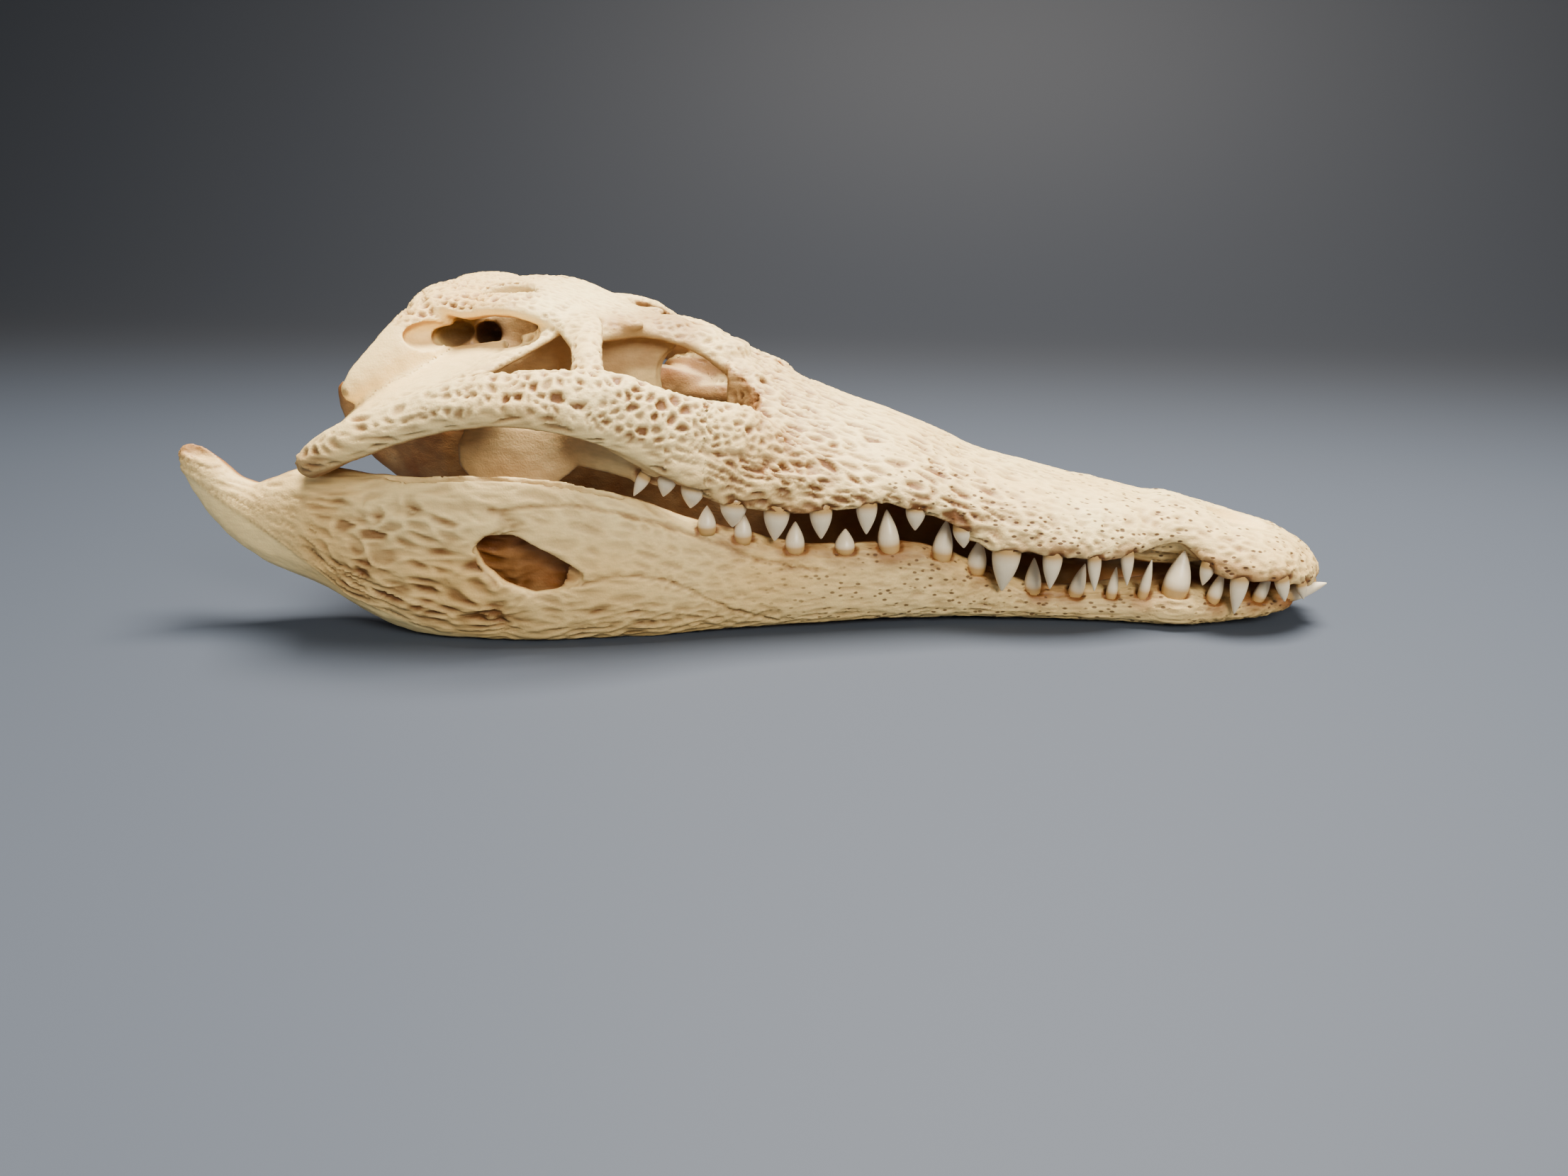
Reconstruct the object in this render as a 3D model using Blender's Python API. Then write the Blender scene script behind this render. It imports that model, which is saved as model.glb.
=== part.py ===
"""Skull and lower jaw of a young Nile crocodile, life size, as a still museum model.

The skull lies on the floor on its two jaw bones, mouth nearly shut. The snout points
along +X, the animal's left side is +Y, and Z is up. The origin is on the floor, in the
middle of the model's box. Lengths below are millimetres, and MM turns them to metres.
"""

import math

import bmesh
import bpy
from mathutils import Matrix, Vector

MM = 0.001
GAP = 0.3
FAR = 400.0
MERGE = 0.002

# Driving sizes. X is measured from the lowest point of the jaw angle, and MIDDLE_X is
# where the middle of the model's box lies on that scale.
MIDDLE_X = 63.77
SNOUT_REAR = 51.0
TABLE_REAR = -43.0

# Snout: half width at the tooth sockets, height of the socket edge, height of the palate
# between the tooth rows, height of the top, and how square the dome is (2 is an ellipse).
SNOUT_WIDTH = [(40, 54.0), (50, 52.0), (62, 48.6), (74, 45.4), (86, 42.4), (98, 38.6), (110, 35.0),
               (120, 32.8), (132, 32.0), (142, 32.2), (152, 31.4), (162, 29.6), (172, 26.6),
               (181, 22.6), (188, 19.4), (194, 18.0), (200, 19.6), (206, 22.0), (213, 23.2),
               (220, 22.6), (226, 20.2), (231, 17.0), (235, 13.2), (238, 9.0), (240, 4.2)]
SOCKET_EDGE = [(40, 54.0), (50, 48.2), (58, 45.0), (66, 43.4), (76, 41.6), (92, 42.8), (99, 43.2),
               (105, 44.6), (111, 41.4), (121, 38.4), (128, 33.6), (136, 28.6), (143, 27.8),
               (147, 29.2), (152, 26.2), (158, 27.8), (164, 25.8), (173, 25.6), (181, 27.0),
               (188, 28.8), (194, 29.4), (198, 27.0), (202, 22.8), (209, 19.6), (223, 19.2),
               (230, 17.2), (236, 14.6), (240, 14.4)]
PALATE_LEVEL = [(40, 57.0), (50, 50.5), (60, 46.4), (76, 43.8), (99, 44.4), (111, 42.6), (128, 35.4),
                (143, 30.4), (160, 28.2), (178, 26.6), (187, 23.8), (200, 22.2), (209, 21.2), (225, 20.4),
                (236, 16.2), (240, 15.6)]
SNOUT_TOP = [(40, 84.5), (50, 81.2), (58, 78.4), (66, 75.2), (75, 71.8), (89, 66.8), (100, 63.2),
             (117, 56.8), (128, 52.0), (137, 49.3), (147, 46.6), (160, 43.7), (173, 41.6),
             (185, 39.2), (191, 39.5), (198, 38.0), (206, 35.4), (213, 33.6), (220, 31.5),
             (227, 29.6), (232, 27.4), (236, 24.5), (239, 21.0), (240, 18.6)]
SNOUT_SQUARE = [(40, 2.3), (60, 2.3), (75, 2.1), (90, 2.0), (115, 2.1), (150, 2.35), (185, 2.3),
                (200, 2.2), (225, 2.3), (240, 2.0)]
SNOUT_STATIONS = [240.2, 239.2, 237.2, 234.2, 230.2, 225.5, 220, 214, 208, 203, 199, 195, 191,
                  187, 182, 176, 169, 161, 154, 147, 141, 135, 129, 123, 117, 110, 103, 96, 88,
                  80, 72, 64, 56, 49]

# Roof of the skull: the narrow bridge between the orbits and the flat table behind it.
ROOF_WIDTH = [(-46, 30.0), (-43, 31.6), (-38, 32.2), (-28, 32.0), (-15, 31.0), (0, 29.4), (7, 28.0),
              (12, 24.0), (17, 18.4), (22, 13.8), (28, 10.6), (35, 9.2), (42, 9.4), (49, 11.4),
              (56, 15.2), (63, 18.8), (72, 20.6), (84, 18.0)]
ROOF_TOP = [(-46, 102.6), (-43, 103.6), (-38, 104.4), (-33, 104.4), (-26, 103.0), (-18, 104.4),
            (-10, 103.8), (-3, 101.5), (8, 97.5), (21, 93.7), (29, 91.4), (38, 88.2),
            (46, 85.1), (53, 82.0), (66, 75.8), (75, 71.8), (84, 67.6)]
ROOF_EDGE_DROP = [(-46, 5.0), (-36, 4.4), (-20, 4.2), (0, 5.0), (10, 5.4), (17, 4.0), (24, 2.4),
                  (40, 2.6), (49, 4.2), (56, 6.2), (63, 8.0), (84, 9.6)]
ROOF_THICKNESS = [(-46, 4.6), (0, 4.6), (20, 3.4), (40, 2.4), (60, 4.6), (84, 8.0)]
ROOF_STATIONS = [-46, -43.5, -39, -33, -27, -20, -13, -6, 1, 7, 12, 17, 22, 28, 35, 42, 49, 56, 63,
                 70, 77, 84]

# Jugal bar: lower edge (y, z), upper edge (y, z) and thickness at each station.
JUGAL = [(96, 32, 48, 25, 53, 3), (86, 36.5, 46.5, 29, 57, 5), (76, 40.8, 46.5, 32.5, 61.5, 7),
         (68, 43.6, 46.6, 34.5, 67.5, 8), (61, 46.6, 46.8, 36.8, 72.6, 8.4),
         (54, 49.8, 48.2, 40.2, 74.4, 8.4), (46, 53.0, 51.0, 45.1, 76.4, 8.0),
         (38, 55.8, 55.8, 49.1, 79.8, 7.6), (30, 58.4, 60.8, 51.5, 83.2, 7.4),
         (22, 60.8, 64.6, 53.1, 84.8, 7.4),
         (13, 63.0, 67.8, 55.2, 85.1, 7.6), (3, 65.2, 70.0, 57.4, 85.2, 7.8),
         (-8, 67.0, 70.8, 58.4, 84.2, 8.0), (-19, 68.2, 70.0, 59.4, 81.8, 8.0),
         (-30, 69.0, 67.2, 60.2, 78.4, 8.0), (-41, 69.2, 63.6, 60.6, 74.2, 8.0),
         (-51, 68.6, 60.0, 60.4, 70.2, 8.4), (-58.5, 67.4, 56.4, 60.0, 66.0, 8.8),
         (-65, 65.6, 53.6, 59.4, 61.4, 8.6), (-69.4, 62.6, 53.8, 59.8, 57.8, 6.0)]

# Quadrate plate: inner edge (y, z), outer edge (y, z) and thickness at each station.
QUADRATE = [(1, 24.5, 91.6, 29, 91.0, 2.4), (-6, 23, 90.4, 42, 86.6, 3.6),
            (-14, 22, 88.0, 54, 82.6, 4.4), (-24, 22, 85.8, 61, 77.6, 5.0),
            (-34, 23, 84.6, 63, 73.8, 5.6), (-44, 27, 82.4, 64, 69.0, 6.2),
            (-52, 34, 75.6, 64, 65.0, 7.0), (-58, 39, 68.6, 64, 61.0, 8.2),
            (-63, 42, 62.4, 64, 57.8, 8.8), (-67.4, 43.5, 58.6, 63.5, 56.4, 8.8),
            (-71, 46, 56.4, 60.5, 55.8, 6.6)]

# Back wall and ear wing: distance from the middle, underside, top, middle and half
# thickness along the skull.
WING = [(0, 69.0, 100.0, -38.5, 5.5), (14, 72.0, 100.0, -39.0, 5.5), (25, 76.0, 99.4, -39.5, 7.0),
        (32, 77.0, 99.2, -41.0, 8.0), (38, 76.0, 95.8, -43.2, 8.0), (44, 74.5, 90.2, -47.4, 7.2),
        (48.5, 73.6, 84.4, -52.6, 5.6), (51.2, 74.6, 80.0, -56.0, 2.6)]

# Braincase under the table: half width, underside and top at each station.
BRAINCASE = [(31, 2.6, 74.0, 90.0), (23, 4.6, 66.0, 92.5), (13, 7.6, 61.0, 96.0),
             (1, 11.0, 59.5, 98.0), (-10, 13.4, 59.5, 98.5), (-21, 15.6, 59.5, 98.5),
             (-31, 18.0, 59.0, 98.5), (-38, 20.0, 58.5, 98.5), (-43, 19.0, 60.0, 98.0),
             (-46, 14.0, 63.0, 95.0)]

# Rear end of the tooth-bearing upper jaw, under the jugal: middle, half width, lower edge
# and height at each station.
TOOTH_SHELF = [(92, 34.5, 4.0, 43.6, 8.0), (80, 38.6, 4.8, 42.4, 12.0), (66, 42.8, 5.4, 43.0, 14.0),
               (54, 45.8, 5.4, 45.6, 14.0), (44, 48.6, 5.0, 50.0, 13.0), (36, 51.4, 4.4, 54.2, 11.0),
               (28, 54.8, 3.4, 59.4, 8.0), (23, 57.0, 2.2, 62.6, 4.6)]

# Strut between the palate and the cheek: middle, half width, lower edge, height.
STRUT = [(5, 42.0, 2.2, 55.0, 8.0), (9, 43.6, 2.6, 54.0, 16.0), (20, 46.6, 3.0, 53.0, 15.2),
         (32, 49.4, 3.2, 51.0, 13.6), (41, 50.4, 3.0, 50.6, 9.6), (47, 49.6, 2.0, 51.0, 5.0)]

# Openings: the orbit, the upper temporal window, the nostril and the palate's windows,
# each an ellipsoid with a centre and three half lengths.
ORBIT = ((37, 29.0, 77.4), (25.6, 16.8, 27.0))
UPPER_WINDOW = ((-18, 16.5, 97.0), (9.6, 7.0, 17.0))
NOSTRIL = ((216, 0, 35.5), (12.0, 8.6, 8.5))
PALATE_WINDOW = ((52, 27, 46.0), (33.0, 11.5, 19.0))
FORAMEN_MAGNUM = ((-48, 0, 82.0), (10.0, 5.2, 4.4))
EAR_RECESS = ((-21.5, 35.5, 90.8), (17.5, 13.0, 5.0))
CHOANA = ((-22, 0, 50.0), (6.0, 4.6, 9.0))

# Palate: half width, height of the middle and height of the side at each station.
PTERYGOID = [(27, 11.0, 57.0, 56.5), (18, 19.0, 58.0, 56.0), (9, 33.0, 59.0, 56.5),
             (-1, 41.0, 59.5, 56.5), (-11, 43.0, 60.0, 57.0), (-20, 42.0, 60.5, 57.5),
             (-27, 34.0, 61.0, 58.5), (-33, 22.0, 61.5, 60.0), (-37, 12.0, 61.5, 61.0)]
# Pterygoid flange: height, rear edge, front edge, distance from the middle, thickness.
FLANGE = [(65.0, -25.5, 15.0, 41.0, 4.4), (59.0, -28.5, 14.0, 42.6, 5.4),
          (53.0, -28.0, 9.0, 43.6, 5.8), (47.5, -23.5, 2.0, 44.0, 5.4), (43.5, -15.0, -5.0, 43.4, 3.6)]
PALATINE = [(100, 11.0, 45.5, 4.5), (88, 11.5, 47.0, 5.0), (74, 10.4, 49.0, 6.0),
            (60, 9.0, 51.2, 6.6), (46, 8.6, 53.4, 6.6), (34, 10.0, 55.4, 6.0),
            (22, 14.0, 57.2, 5.0), (12, 16.0, 58.6, 4.0)]

# Lower jaw, one side: outer face, inner face, bottom and top at each station.
JAW = [(237.6, 5.5, 0.0, 8.6, 10.4), (234.6, 9.0, -1.5, 6.6, 10.9), (230, 12.4, -2.0, 4.9, 11.2),
       (224, 15.0, -2.0, 3.2, 11.0), (216, 16.8, -2.0, 1.6, 10.8), (207, 18.8, -2.0, 0.3, 11.2),
       (200, 20.8, -2.0, -0.45, 13.0), (194, 21.4, -2.0, -0.45, 14.0),
       (186, 20.4, -2.0, -0.45, 12.8), (178, 20.0, -1.5, -0.3, 11.8), (169, 20.2, 3.0, 0.0, 11.2),
       (160, 20.8, 7.0, 0.4, 11.2), (150, 22.0, 9.6, 0.8, 12.4), (141, 23.6, 11.6, 1.0, 15.6),
       (132, 25.2, 13.6, 1.2, 19.6), (123, 27.4, 15.6, 1.3, 24.0), (113, 30.0, 18.0, 1.4, 27.4),
       (102, 32.8, 20.8, 1.4, 28.2), (90, 36.0, 24.0, 1.3, 27.8), (78, 39.4, 27.2, 1.1, 28.6),
       (66, 43.0, 30.6, 0.7, 31.6), (54, 47.0, 34.4, 0.2, 35.4), (42, 51.2, 38.4, -0.3, 39.8),
       (30, 55.4, 42.6, -0.45, 45.2), (18, 59.0, 46.4, -0.45, 50.2), (7, 61.8, 49.2, -0.45, 53.2),
       (-5, 64.0, 51.0, -0.45, 54.6), (-17, 65.2, 51.6, -0.45, 54.6), (-30, 65.6, 50.6, -0.45, 53.8),
       (-42, 65.2, 48.0, -0.3, 52.6), (-52, 64.4, 44.6, 1.8, 52.0), (-61, 63.2, 41.0, 5.6, 52.4),
       (-70, 61.6, 39.6, 10.2, 52.8), (-78, 59.8, 41.0, 13.6, 51.8), (-85, 58.6, 43.0, 16.6, 48.8),
       (-91.5, 57.8, 45.2, 19.8, 46.4), (-97, 57.2, 46.4, 23.4, 48.8), (-102.4, 56.6, 47.0, 27.4, 54.4),
       (-107.8, 55.6, 47.2, 33.6, 58.2), (-112.4, 54.2, 47.8, 41.0, 58.8),
       (-115.4, 52.6, 49.4, 48.4, 56.2)]
# Window through the outer wall of the jaw, as an outline (x, z), and the muscle pit
# inside it: stations, wall thickness outside and inside, and the depth of its floor.
JAW_WINDOW = [(-17.5, 34.0), (-13.5, 37.2), (-6.0, 37.4), (3.5, 32.2), (13.5, 25.6), (14.0, 22.6),
              (9.0, 20.0), (-1.0, 18.6), (-9.5, 21.6), (-15.6, 28.0)]
PIT_STATIONS = [-46, -38, -28, -17, -5, 7, 18, 26]
PIT_OUTER_WALL, PIT_INNER_WALL, PIT_FLOOR = 3.6, 3.2, 12.0

# Teeth, front to back on one side: place along the jaw, length, half width, lean to the front.
UPPER_TEETH = [(238.8, 3.2, 1.2, 0.2), (233.2, 5.2, 1.6, 0.3), (225.6, 7.6, 2.1, 0.3),
               (212.6, 12.6, 2.6, 0.0), (203.0, 6.8, 2.2, -0.1), (177.6, 10.8, 2.1, 0.1),
               (167.2, 11.2, 2.2, 0.1), (154.4, 11.6, 3.0, 0.0), (140.4, 14.4, 4.2, -0.05),
               (126.4, 6.8, 2.9, 0.1), (111.8, 7.4, 3.0, 0.0), (97.0, 10.0, 3.3, 0.0),
               (83.4, 9.8, 3.6, 0.0), (70.4, 10.6, 4.0, -0.1), (57.8, 8.2, 3.9, -0.1),
               (46.4, 7.0, 3.4, -0.2), (39.2, 6.6, 2.9, -0.3), (32.4, 6.4, 2.0, -0.6)]
LOWER_TEETH = [(232.0, 3.4, 1.6, 3.2), (221.2, 8.4, 2.0, 0.35), (206.6, 8.6, 2.1, 0.25),
               (194.8, 12.2, 3.7, 0.1), (184.6, 10.6, 1.7, 0.15), (174.8, 8.6, 1.8, 0.1),
               (163.6, 9.4, 2.5, 0.25), (149.8, 9.8, 2.7, 0.0), (131.4, 8.8, 3.0, 0.1),
               (120.4, 10.4, 3.0, 0.1), (103.8, 11.0, 3.3, -0.1), (90.2, 5.8, 3.2, 0.0),
               (75.0, 7.6, 3.2, 0.0), (59.6, 7.2, 2.8, 0.0), (49.2, 6.4, 2.7, 0.0)]
TOOTH_SIDES = 6


def clear_scene():
    """Remove whatever the file opened with."""
    for obj in list(bpy.data.objects):
        bpy.data.objects.remove(obj, do_unlink=True)


def read(curve, place):
    """Value of a smooth line through a curve's (place, value) points, without overshoot."""
    points = sorted(curve)
    if place <= points[0][0]:
        return points[0][1]
    if place >= points[-1][0]:
        return points[-1][1]
    slopes = [(b[1] - a[1]) / (b[0] - a[0]) for a, b in zip(points, points[1:])]

    def tangent(i):
        if i == 0 or i == len(points) - 1 or slopes[i - 1] * slopes[i] <= 0.0:
            return 0.0
        return 2.0 * slopes[i - 1] * slopes[i] / (slopes[i - 1] + slopes[i])

    i = max(k for k in range(len(points) - 1) if points[k][0] <= place)
    width = points[i + 1][0] - points[i][0]
    t = (place - points[i][0]) / width
    return (points[i][1] * (1 + 2 * t) * (1 - t) ** 2 + tangent(i) * width * t * (1 - t) ** 2
            + points[i + 1][1] * t * t * (3 - 2 * t) + tangent(i + 1) * width * t * t * (t - 1))


def power(value, exponent):
    """Signed power, for rounded squares."""
    return math.copysign(abs(value) ** exponent, value)


def new_object(name, bm):
    """A mesh object from a closed bmesh, with its faces turned outwards."""
    bmesh.ops.recalc_face_normals(bm, faces=bm.faces)
    mesh = bpy.data.meshes.new(name)
    bm.to_mesh(mesh)
    bm.free()
    obj = bpy.data.objects.new(name, mesh)
    bpy.context.scene.collection.objects.link(obj)
    return obj


def loft(name, rings):
    """A closed skin over rings of points in millimetres, with a fan at each end."""
    bm = bmesh.new()
    rows = [[bm.verts.new(Vector(point) * MM) for point in ring] for ring in rings]
    for low, high in zip(rows, rows[1:]):
        for i in range(len(low)):
            j = (i + 1) % len(low)
            bm.faces.new((low[i], low[j], high[j], high[i]))
    for row in (rows[0], rows[-1]):
        middle = bm.verts.new(sum((vert.co for vert in row), Vector()) / len(row))
        for i in range(len(row)):
            bm.faces.new((row[i], row[(i + 1) % len(row)], middle))
    return new_object(name, bm)


def ellipsoid(name, shape, side=1, segments=16, rings=10):
    """An ellipsoid from a (centre, half lengths) pair, on the given side."""
    centre, radii = shape
    bm = bmesh.new()
    bmesh.ops.create_uvsphere(bm, u_segments=segments, v_segments=rings, radius=1.0)
    size = Matrix.Diagonal((*radii, 1.0))
    place = Matrix.Translation((centre[0], side * centre[1], centre[2]))
    bm.transform(Matrix.Scale(MM, 4) @ place @ size)
    return new_object(name, bm)


def block(name, low, high):
    """A box between two corners in millimetres."""
    bm = bmesh.new()
    bmesh.ops.create_cube(bm, size=1.0)
    low, high = Vector(low), Vector(high)
    place = Matrix.Translation((low + high) / 2) @ Matrix.Diagonal((*(high - low), 1.0))
    bm.transform(Matrix.Scale(MM, 4) @ place)
    return new_object(name, bm)


def tube(name, path, sides=10):
    """A tapering rod along (centre, (radius along x, radius across)) stations."""
    centres = [Vector(centre) for centre, _ in path]
    rings = []
    for i, (_, (along, across)) in enumerate(path):
        run = centres[min(i + 1, len(path) - 1)] - centres[max(i - 1, 0)]
        first = Vector((1, 0, 0)) - run * (run.x / run.length_squared)
        if first.length < 0.3:
            first = Vector((0, 1, 0)) - run * (run.y / run.length_squared)
        first.normalize()
        second = run.normalized().cross(first)
        turns = [2 * math.pi * k / sides for k in range(sides)]
        rings.append([centres[i] + first * along * math.cos(t) + second * across * math.sin(t)
                      for t in turns])
    return loft(name, rings)


def combine(target, tools, operation):
    """Join closed meshes to the target, or take them away from it, and remove them."""
    group = bpy.data.collections.new("tools")
    bpy.context.scene.collection.children.link(group)
    for tool in tools:
        bpy.context.scene.collection.objects.unlink(tool)
        group.objects.link(tool)
    modifier = target.modifiers.new("Combine", 'BOOLEAN')
    modifier.operation = operation
    modifier.operand_type = 'COLLECTION'
    modifier.collection = group
    modifier.solver = 'MANIFOLD'
    bpy.context.view_layer.objects.active = target
    bpy.ops.object.modifier_apply(modifier=modifier.name)
    for tool in tools:
        bpy.data.objects.remove(tool, do_unlink=True)
    bpy.data.collections.remove(group)
    return target


def grown(obj, amount):
    """A copy of a closed mesh, moved outwards by an amount in millimetres."""
    copy = bpy.data.objects.new(obj.name + "_grown", obj.data.copy())
    bpy.context.scene.collection.objects.link(copy)
    normals = [vert.normal.copy() for vert in copy.data.vertices]
    for vert, normal in zip(copy.data.vertices, normals):
        vert.co += normal * amount * MM
    return copy


def keep_largest(obj):
    """Keep the largest closed surface of a mesh."""
    bm = bmesh.new()
    bm.from_mesh(obj.data)
    bmesh.ops.remove_doubles(bm, verts=bm.verts, dist=MERGE * MM)
    bmesh.ops.dissolve_degenerate(bm, edges=bm.edges, dist=MERGE * MM)
    bmesh.ops.triangulate(bm, faces=bm.faces)
    left = set(bm.verts)
    groups = []
    while left:
        front = [left.pop()]
        group = set(front)
        while front:
            for edge in front.pop().link_edges:
                for vert in edge.verts:
                    if vert in left:
                        left.remove(vert)
                        group.add(vert)
                        front.append(vert)
        groups.append(group)
    groups.sort(key=len)
    spare = [vert for group in groups[:-1] for vert in group]
    bmesh.ops.delete(bm, geom=spare, context='VERTS')
    bm.to_mesh(obj.data)
    bm.free()
    return obj


def slab(x, inner, outer, thickness, side, bulge=0.0, points=12):
    """A ring round a plate's section between its inner and outer edges, given as (y, z)."""
    start, end = Vector((inner[0] * side, inner[1])), Vector((outer[0] * side, outer[1]))
    middle, half = (start + end) / 2, (end - start) / 2
    normal = Vector((-half.y, half.x)).normalized() * (-side)
    ring = []
    for k in range(points):
        turn = 2 * math.pi * k / points
        along, off = power(math.cos(turn), 0.75), power(math.sin(turn), 0.75)
        spot = middle + half * along + normal * (off * thickness / 2 + bulge * (1 - along ** 2))
        ring.append((x, spot.x, spot.y))
    return ring


def snout_form():
    """Both upper jaw bones and the nasals as one dome over a nearly flat palate."""
    rings = []
    for x in SNOUT_STATIONS:
        width, low, top = read(SNOUT_WIDTH, x), read(SOCKET_EDGE, x), read(SNOUT_TOP, x)
        square = 2.0 / read(SNOUT_SQUARE, x)
        ring = []
        steps = 16
        for k in range(steps + 1):
            turn = math.pi * k / steps
            ring.append((x, width * power(math.cos(turn), square),
                         low + (top - low) * power(math.sin(turn), square)))
        palate = min(read(PALATE_LEVEL, x), low + 1.4)
        vault = palate + min(2.6, (top - palate) * 0.2)
        for share, z in ((-0.95, low - 0.8), (-0.8, low - 0.7), (-0.66, palate), (-0.3, vault),
                         (0.3, vault), (0.66, palate), (0.8, low - 0.7), (0.95, low - 0.8)):
            ring.append((x, width * share, z))
        rings.append(ring)
    return loft("snout_form", rings)


def roof_form():
    """The bridge between the orbits and the skull table, one slab with raised rims."""
    rings = []
    for x in ROOF_STATIONS:
        width, top, drop = read(ROOF_WIDTH, x), read(ROOF_TOP, x), read(ROOF_EDGE_DROP, x)
        thick = read(ROOF_THICKNESS, x)
        upper = [(-1.0, -drop - 0.9), (-0.93, -drop * 0.72), (-0.7, -drop * 0.24), (-0.35, 0.0),
                 (0.0, 0.0), (0.35, 0.0), (0.7, -drop * 0.24), (0.93, -drop * 0.72), (1.0, -drop - 0.9)]
        lower = [(0.97, -drop - thick * 0.75), (0.8, -drop - thick), (0.4, -thick - 1.6),
                 (-0.4, -thick - 1.6), (-0.8, -drop - thick), (-0.97, -drop - thick * 0.75)]
        rear = TABLE_REAR + 4.0 if x < TABLE_REAR else x
        rings.append([(rear if abs(share) < 0.3 else x, width * share, top + rise)
                      for share, rise in upper + lower])
    return loft("roof_form", rings)


def braincase_form():
    """The closed case of the brain, hung under the table."""
    rings = []
    for x, width, low, top in BRAINCASE:
        turns = [2 * math.pi * k / 16 for k in range(16)]
        rings.append([(x, width * power(math.cos(t), 0.8),
                       (low + top) / 2 + (top - low) / 2 * power(math.sin(t), 0.8)) for t in turns])
    return loft("braincase_form", rings)


def occiput_form():
    """The back wall of the skull, from one side process to the other."""
    rings = []
    stations = [(-row[0], *row[1:]) for row in WING[:0:-1]] + WING
    for y, low, top, middle, half in stations:
        turns = [2 * math.pi * k / 12 for k in range(12)]
        rings.append([(middle + half * power(math.cos(t), 0.8), y,
                       (low + top) / 2 + (top - low) / 2 * power(math.sin(t), 0.8)) for t in turns])
    return loft("occiput_form", rings)


def orbit_bar(side):
    """Postorbital bar, from the table's front corner down to the jugal."""
    path = [((4, 21 * side, 95.0), (8.0, 2.0)), ((9.5, 30 * side, 92.6), (6.8, 2.8)),
            ((13.5, 40 * side, 89.4), (4.9, 3.0)), ((16, 48 * side, 85.6), (4.6, 3.0)),
            ((18, 54 * side, 80.0), (6.0, 2.8))]
    return tube("orbit_bar", path, 10)


def jugal_form(side):
    """Jugal and quadratojugal: the deep bar under the orbit, back to the jaw joint."""
    rings = [slab(x, (low_y, low_z), (top_y, top_z), thick, -side, 1.5, 14)
             for x, low_y, low_z, top_y, top_z, thick in JUGAL]
    rings = [[(x, -y, z) for x, y, z in ring] for ring in rings]
    return loft("jugal_form", rings)


def quadrate_form(side):
    """Quadrate: the sloping plate behind the cheek window, thickened to the joint."""
    rings = [slab(x, (in_y, in_z), (out_y, out_z), thick, side, 0.0, 14)
             for x, in_y, in_z, out_y, out_z, thick in QUADRATE]
    return loft("quadrate_form", rings)


def pterygoid_form():
    """The thin wings of bone across the rear of the palate."""
    rings = []
    for x, width, middle, edge in PTERYGOID:
        shares = (-1.0, -0.8, -0.4, 0.0, 0.4, 0.8, 1.0)
        top = [(x, width * s, middle + 2.2 + (edge - middle) * abs(s) - abs(s) ** 3) for s in shares]
        low = [(x, width * s * 0.98, middle - 2.2 + (edge - middle) * abs(s)) for s in shares[::-1]]
        rings.append(top + low)
    return loft("pterygoid_form", rings)


def flange_form(side):
    """The flange that guides the lower jaw, an upright blade at the pterygoid's edge."""
    rings = []
    for z, rear, front, out, thick in FLANGE:
        turns = [2 * math.pi * k / 14 for k in range(14)]
        rings.append([((rear + front) / 2 + (front - rear) / 2 * power(math.cos(t), 0.8),
                       side * (out + thick / 2 * power(math.sin(t), 0.8)), z) for t in turns])
    return loft("flange_form", rings)


def palatine_form():
    """The air passage of the palate, a bar between the two palate windows."""
    rings = []
    for x, width, middle, half in PALATINE:
        turns = [2 * math.pi * k / 14 for k in range(14)]
        rings.append([(x, width * power(math.cos(t), 0.85), middle + half * power(math.sin(t), 0.85))
                      for t in turns])
    return loft("palatine_form", rings)


def upright_blade(name, stations, side, points=12):
    """An upright blade along the skull, from (x, middle, half width, low, height) stations."""
    rings = []
    for x, middle, half, low, height in stations:
        turns = [2 * math.pi * k / points for k in range(points)]
        rings.append([(x, side * (middle + half * power(math.cos(t), 0.8)),
                       low + height / 2 * (1 + power(math.sin(t), 0.8))) for t in turns])
    return loft(name, rings)


def prefrontal_pillar(side):
    """The post in front of the orbit, from the roof to the palate."""
    path = [((56, 13 * side, 80.0), (3.6, 4.0)), ((54, 11.5 * side, 68.0), (2.4, 2.8)),
            ((53, 9.0 * side, 56.0), (3.4, 3.0)), ((52, 7.0 * side, 51.0), (3.6, 3.0))]
    return tube("prefrontal_pillar", path, 8)


def jaw_form(side):
    """One half of the lower jaw, from the chin to the hook behind the joint."""
    rings = []
    for x, outer, inner, low, top in JAW:
        middle, half = (outer + inner) / 2, (outer - inner) / 2
        height = (top - low) / 2
        lean = min(4.5, height * 0.2)
        ring = []
        for k in range(16):
            turn = 2 * math.pi * k / 16
            across, up = power(math.cos(turn), 0.8), power(math.sin(turn), 0.8)
            tuck = lean * (up * up if up < 0 else 0.22 * up * up)
            ring.append((x, side * (middle + half * across - tuck), low + height * (1 + up)))
        rings.append(ring)
    return loft("jaw_form", rings)


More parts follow.
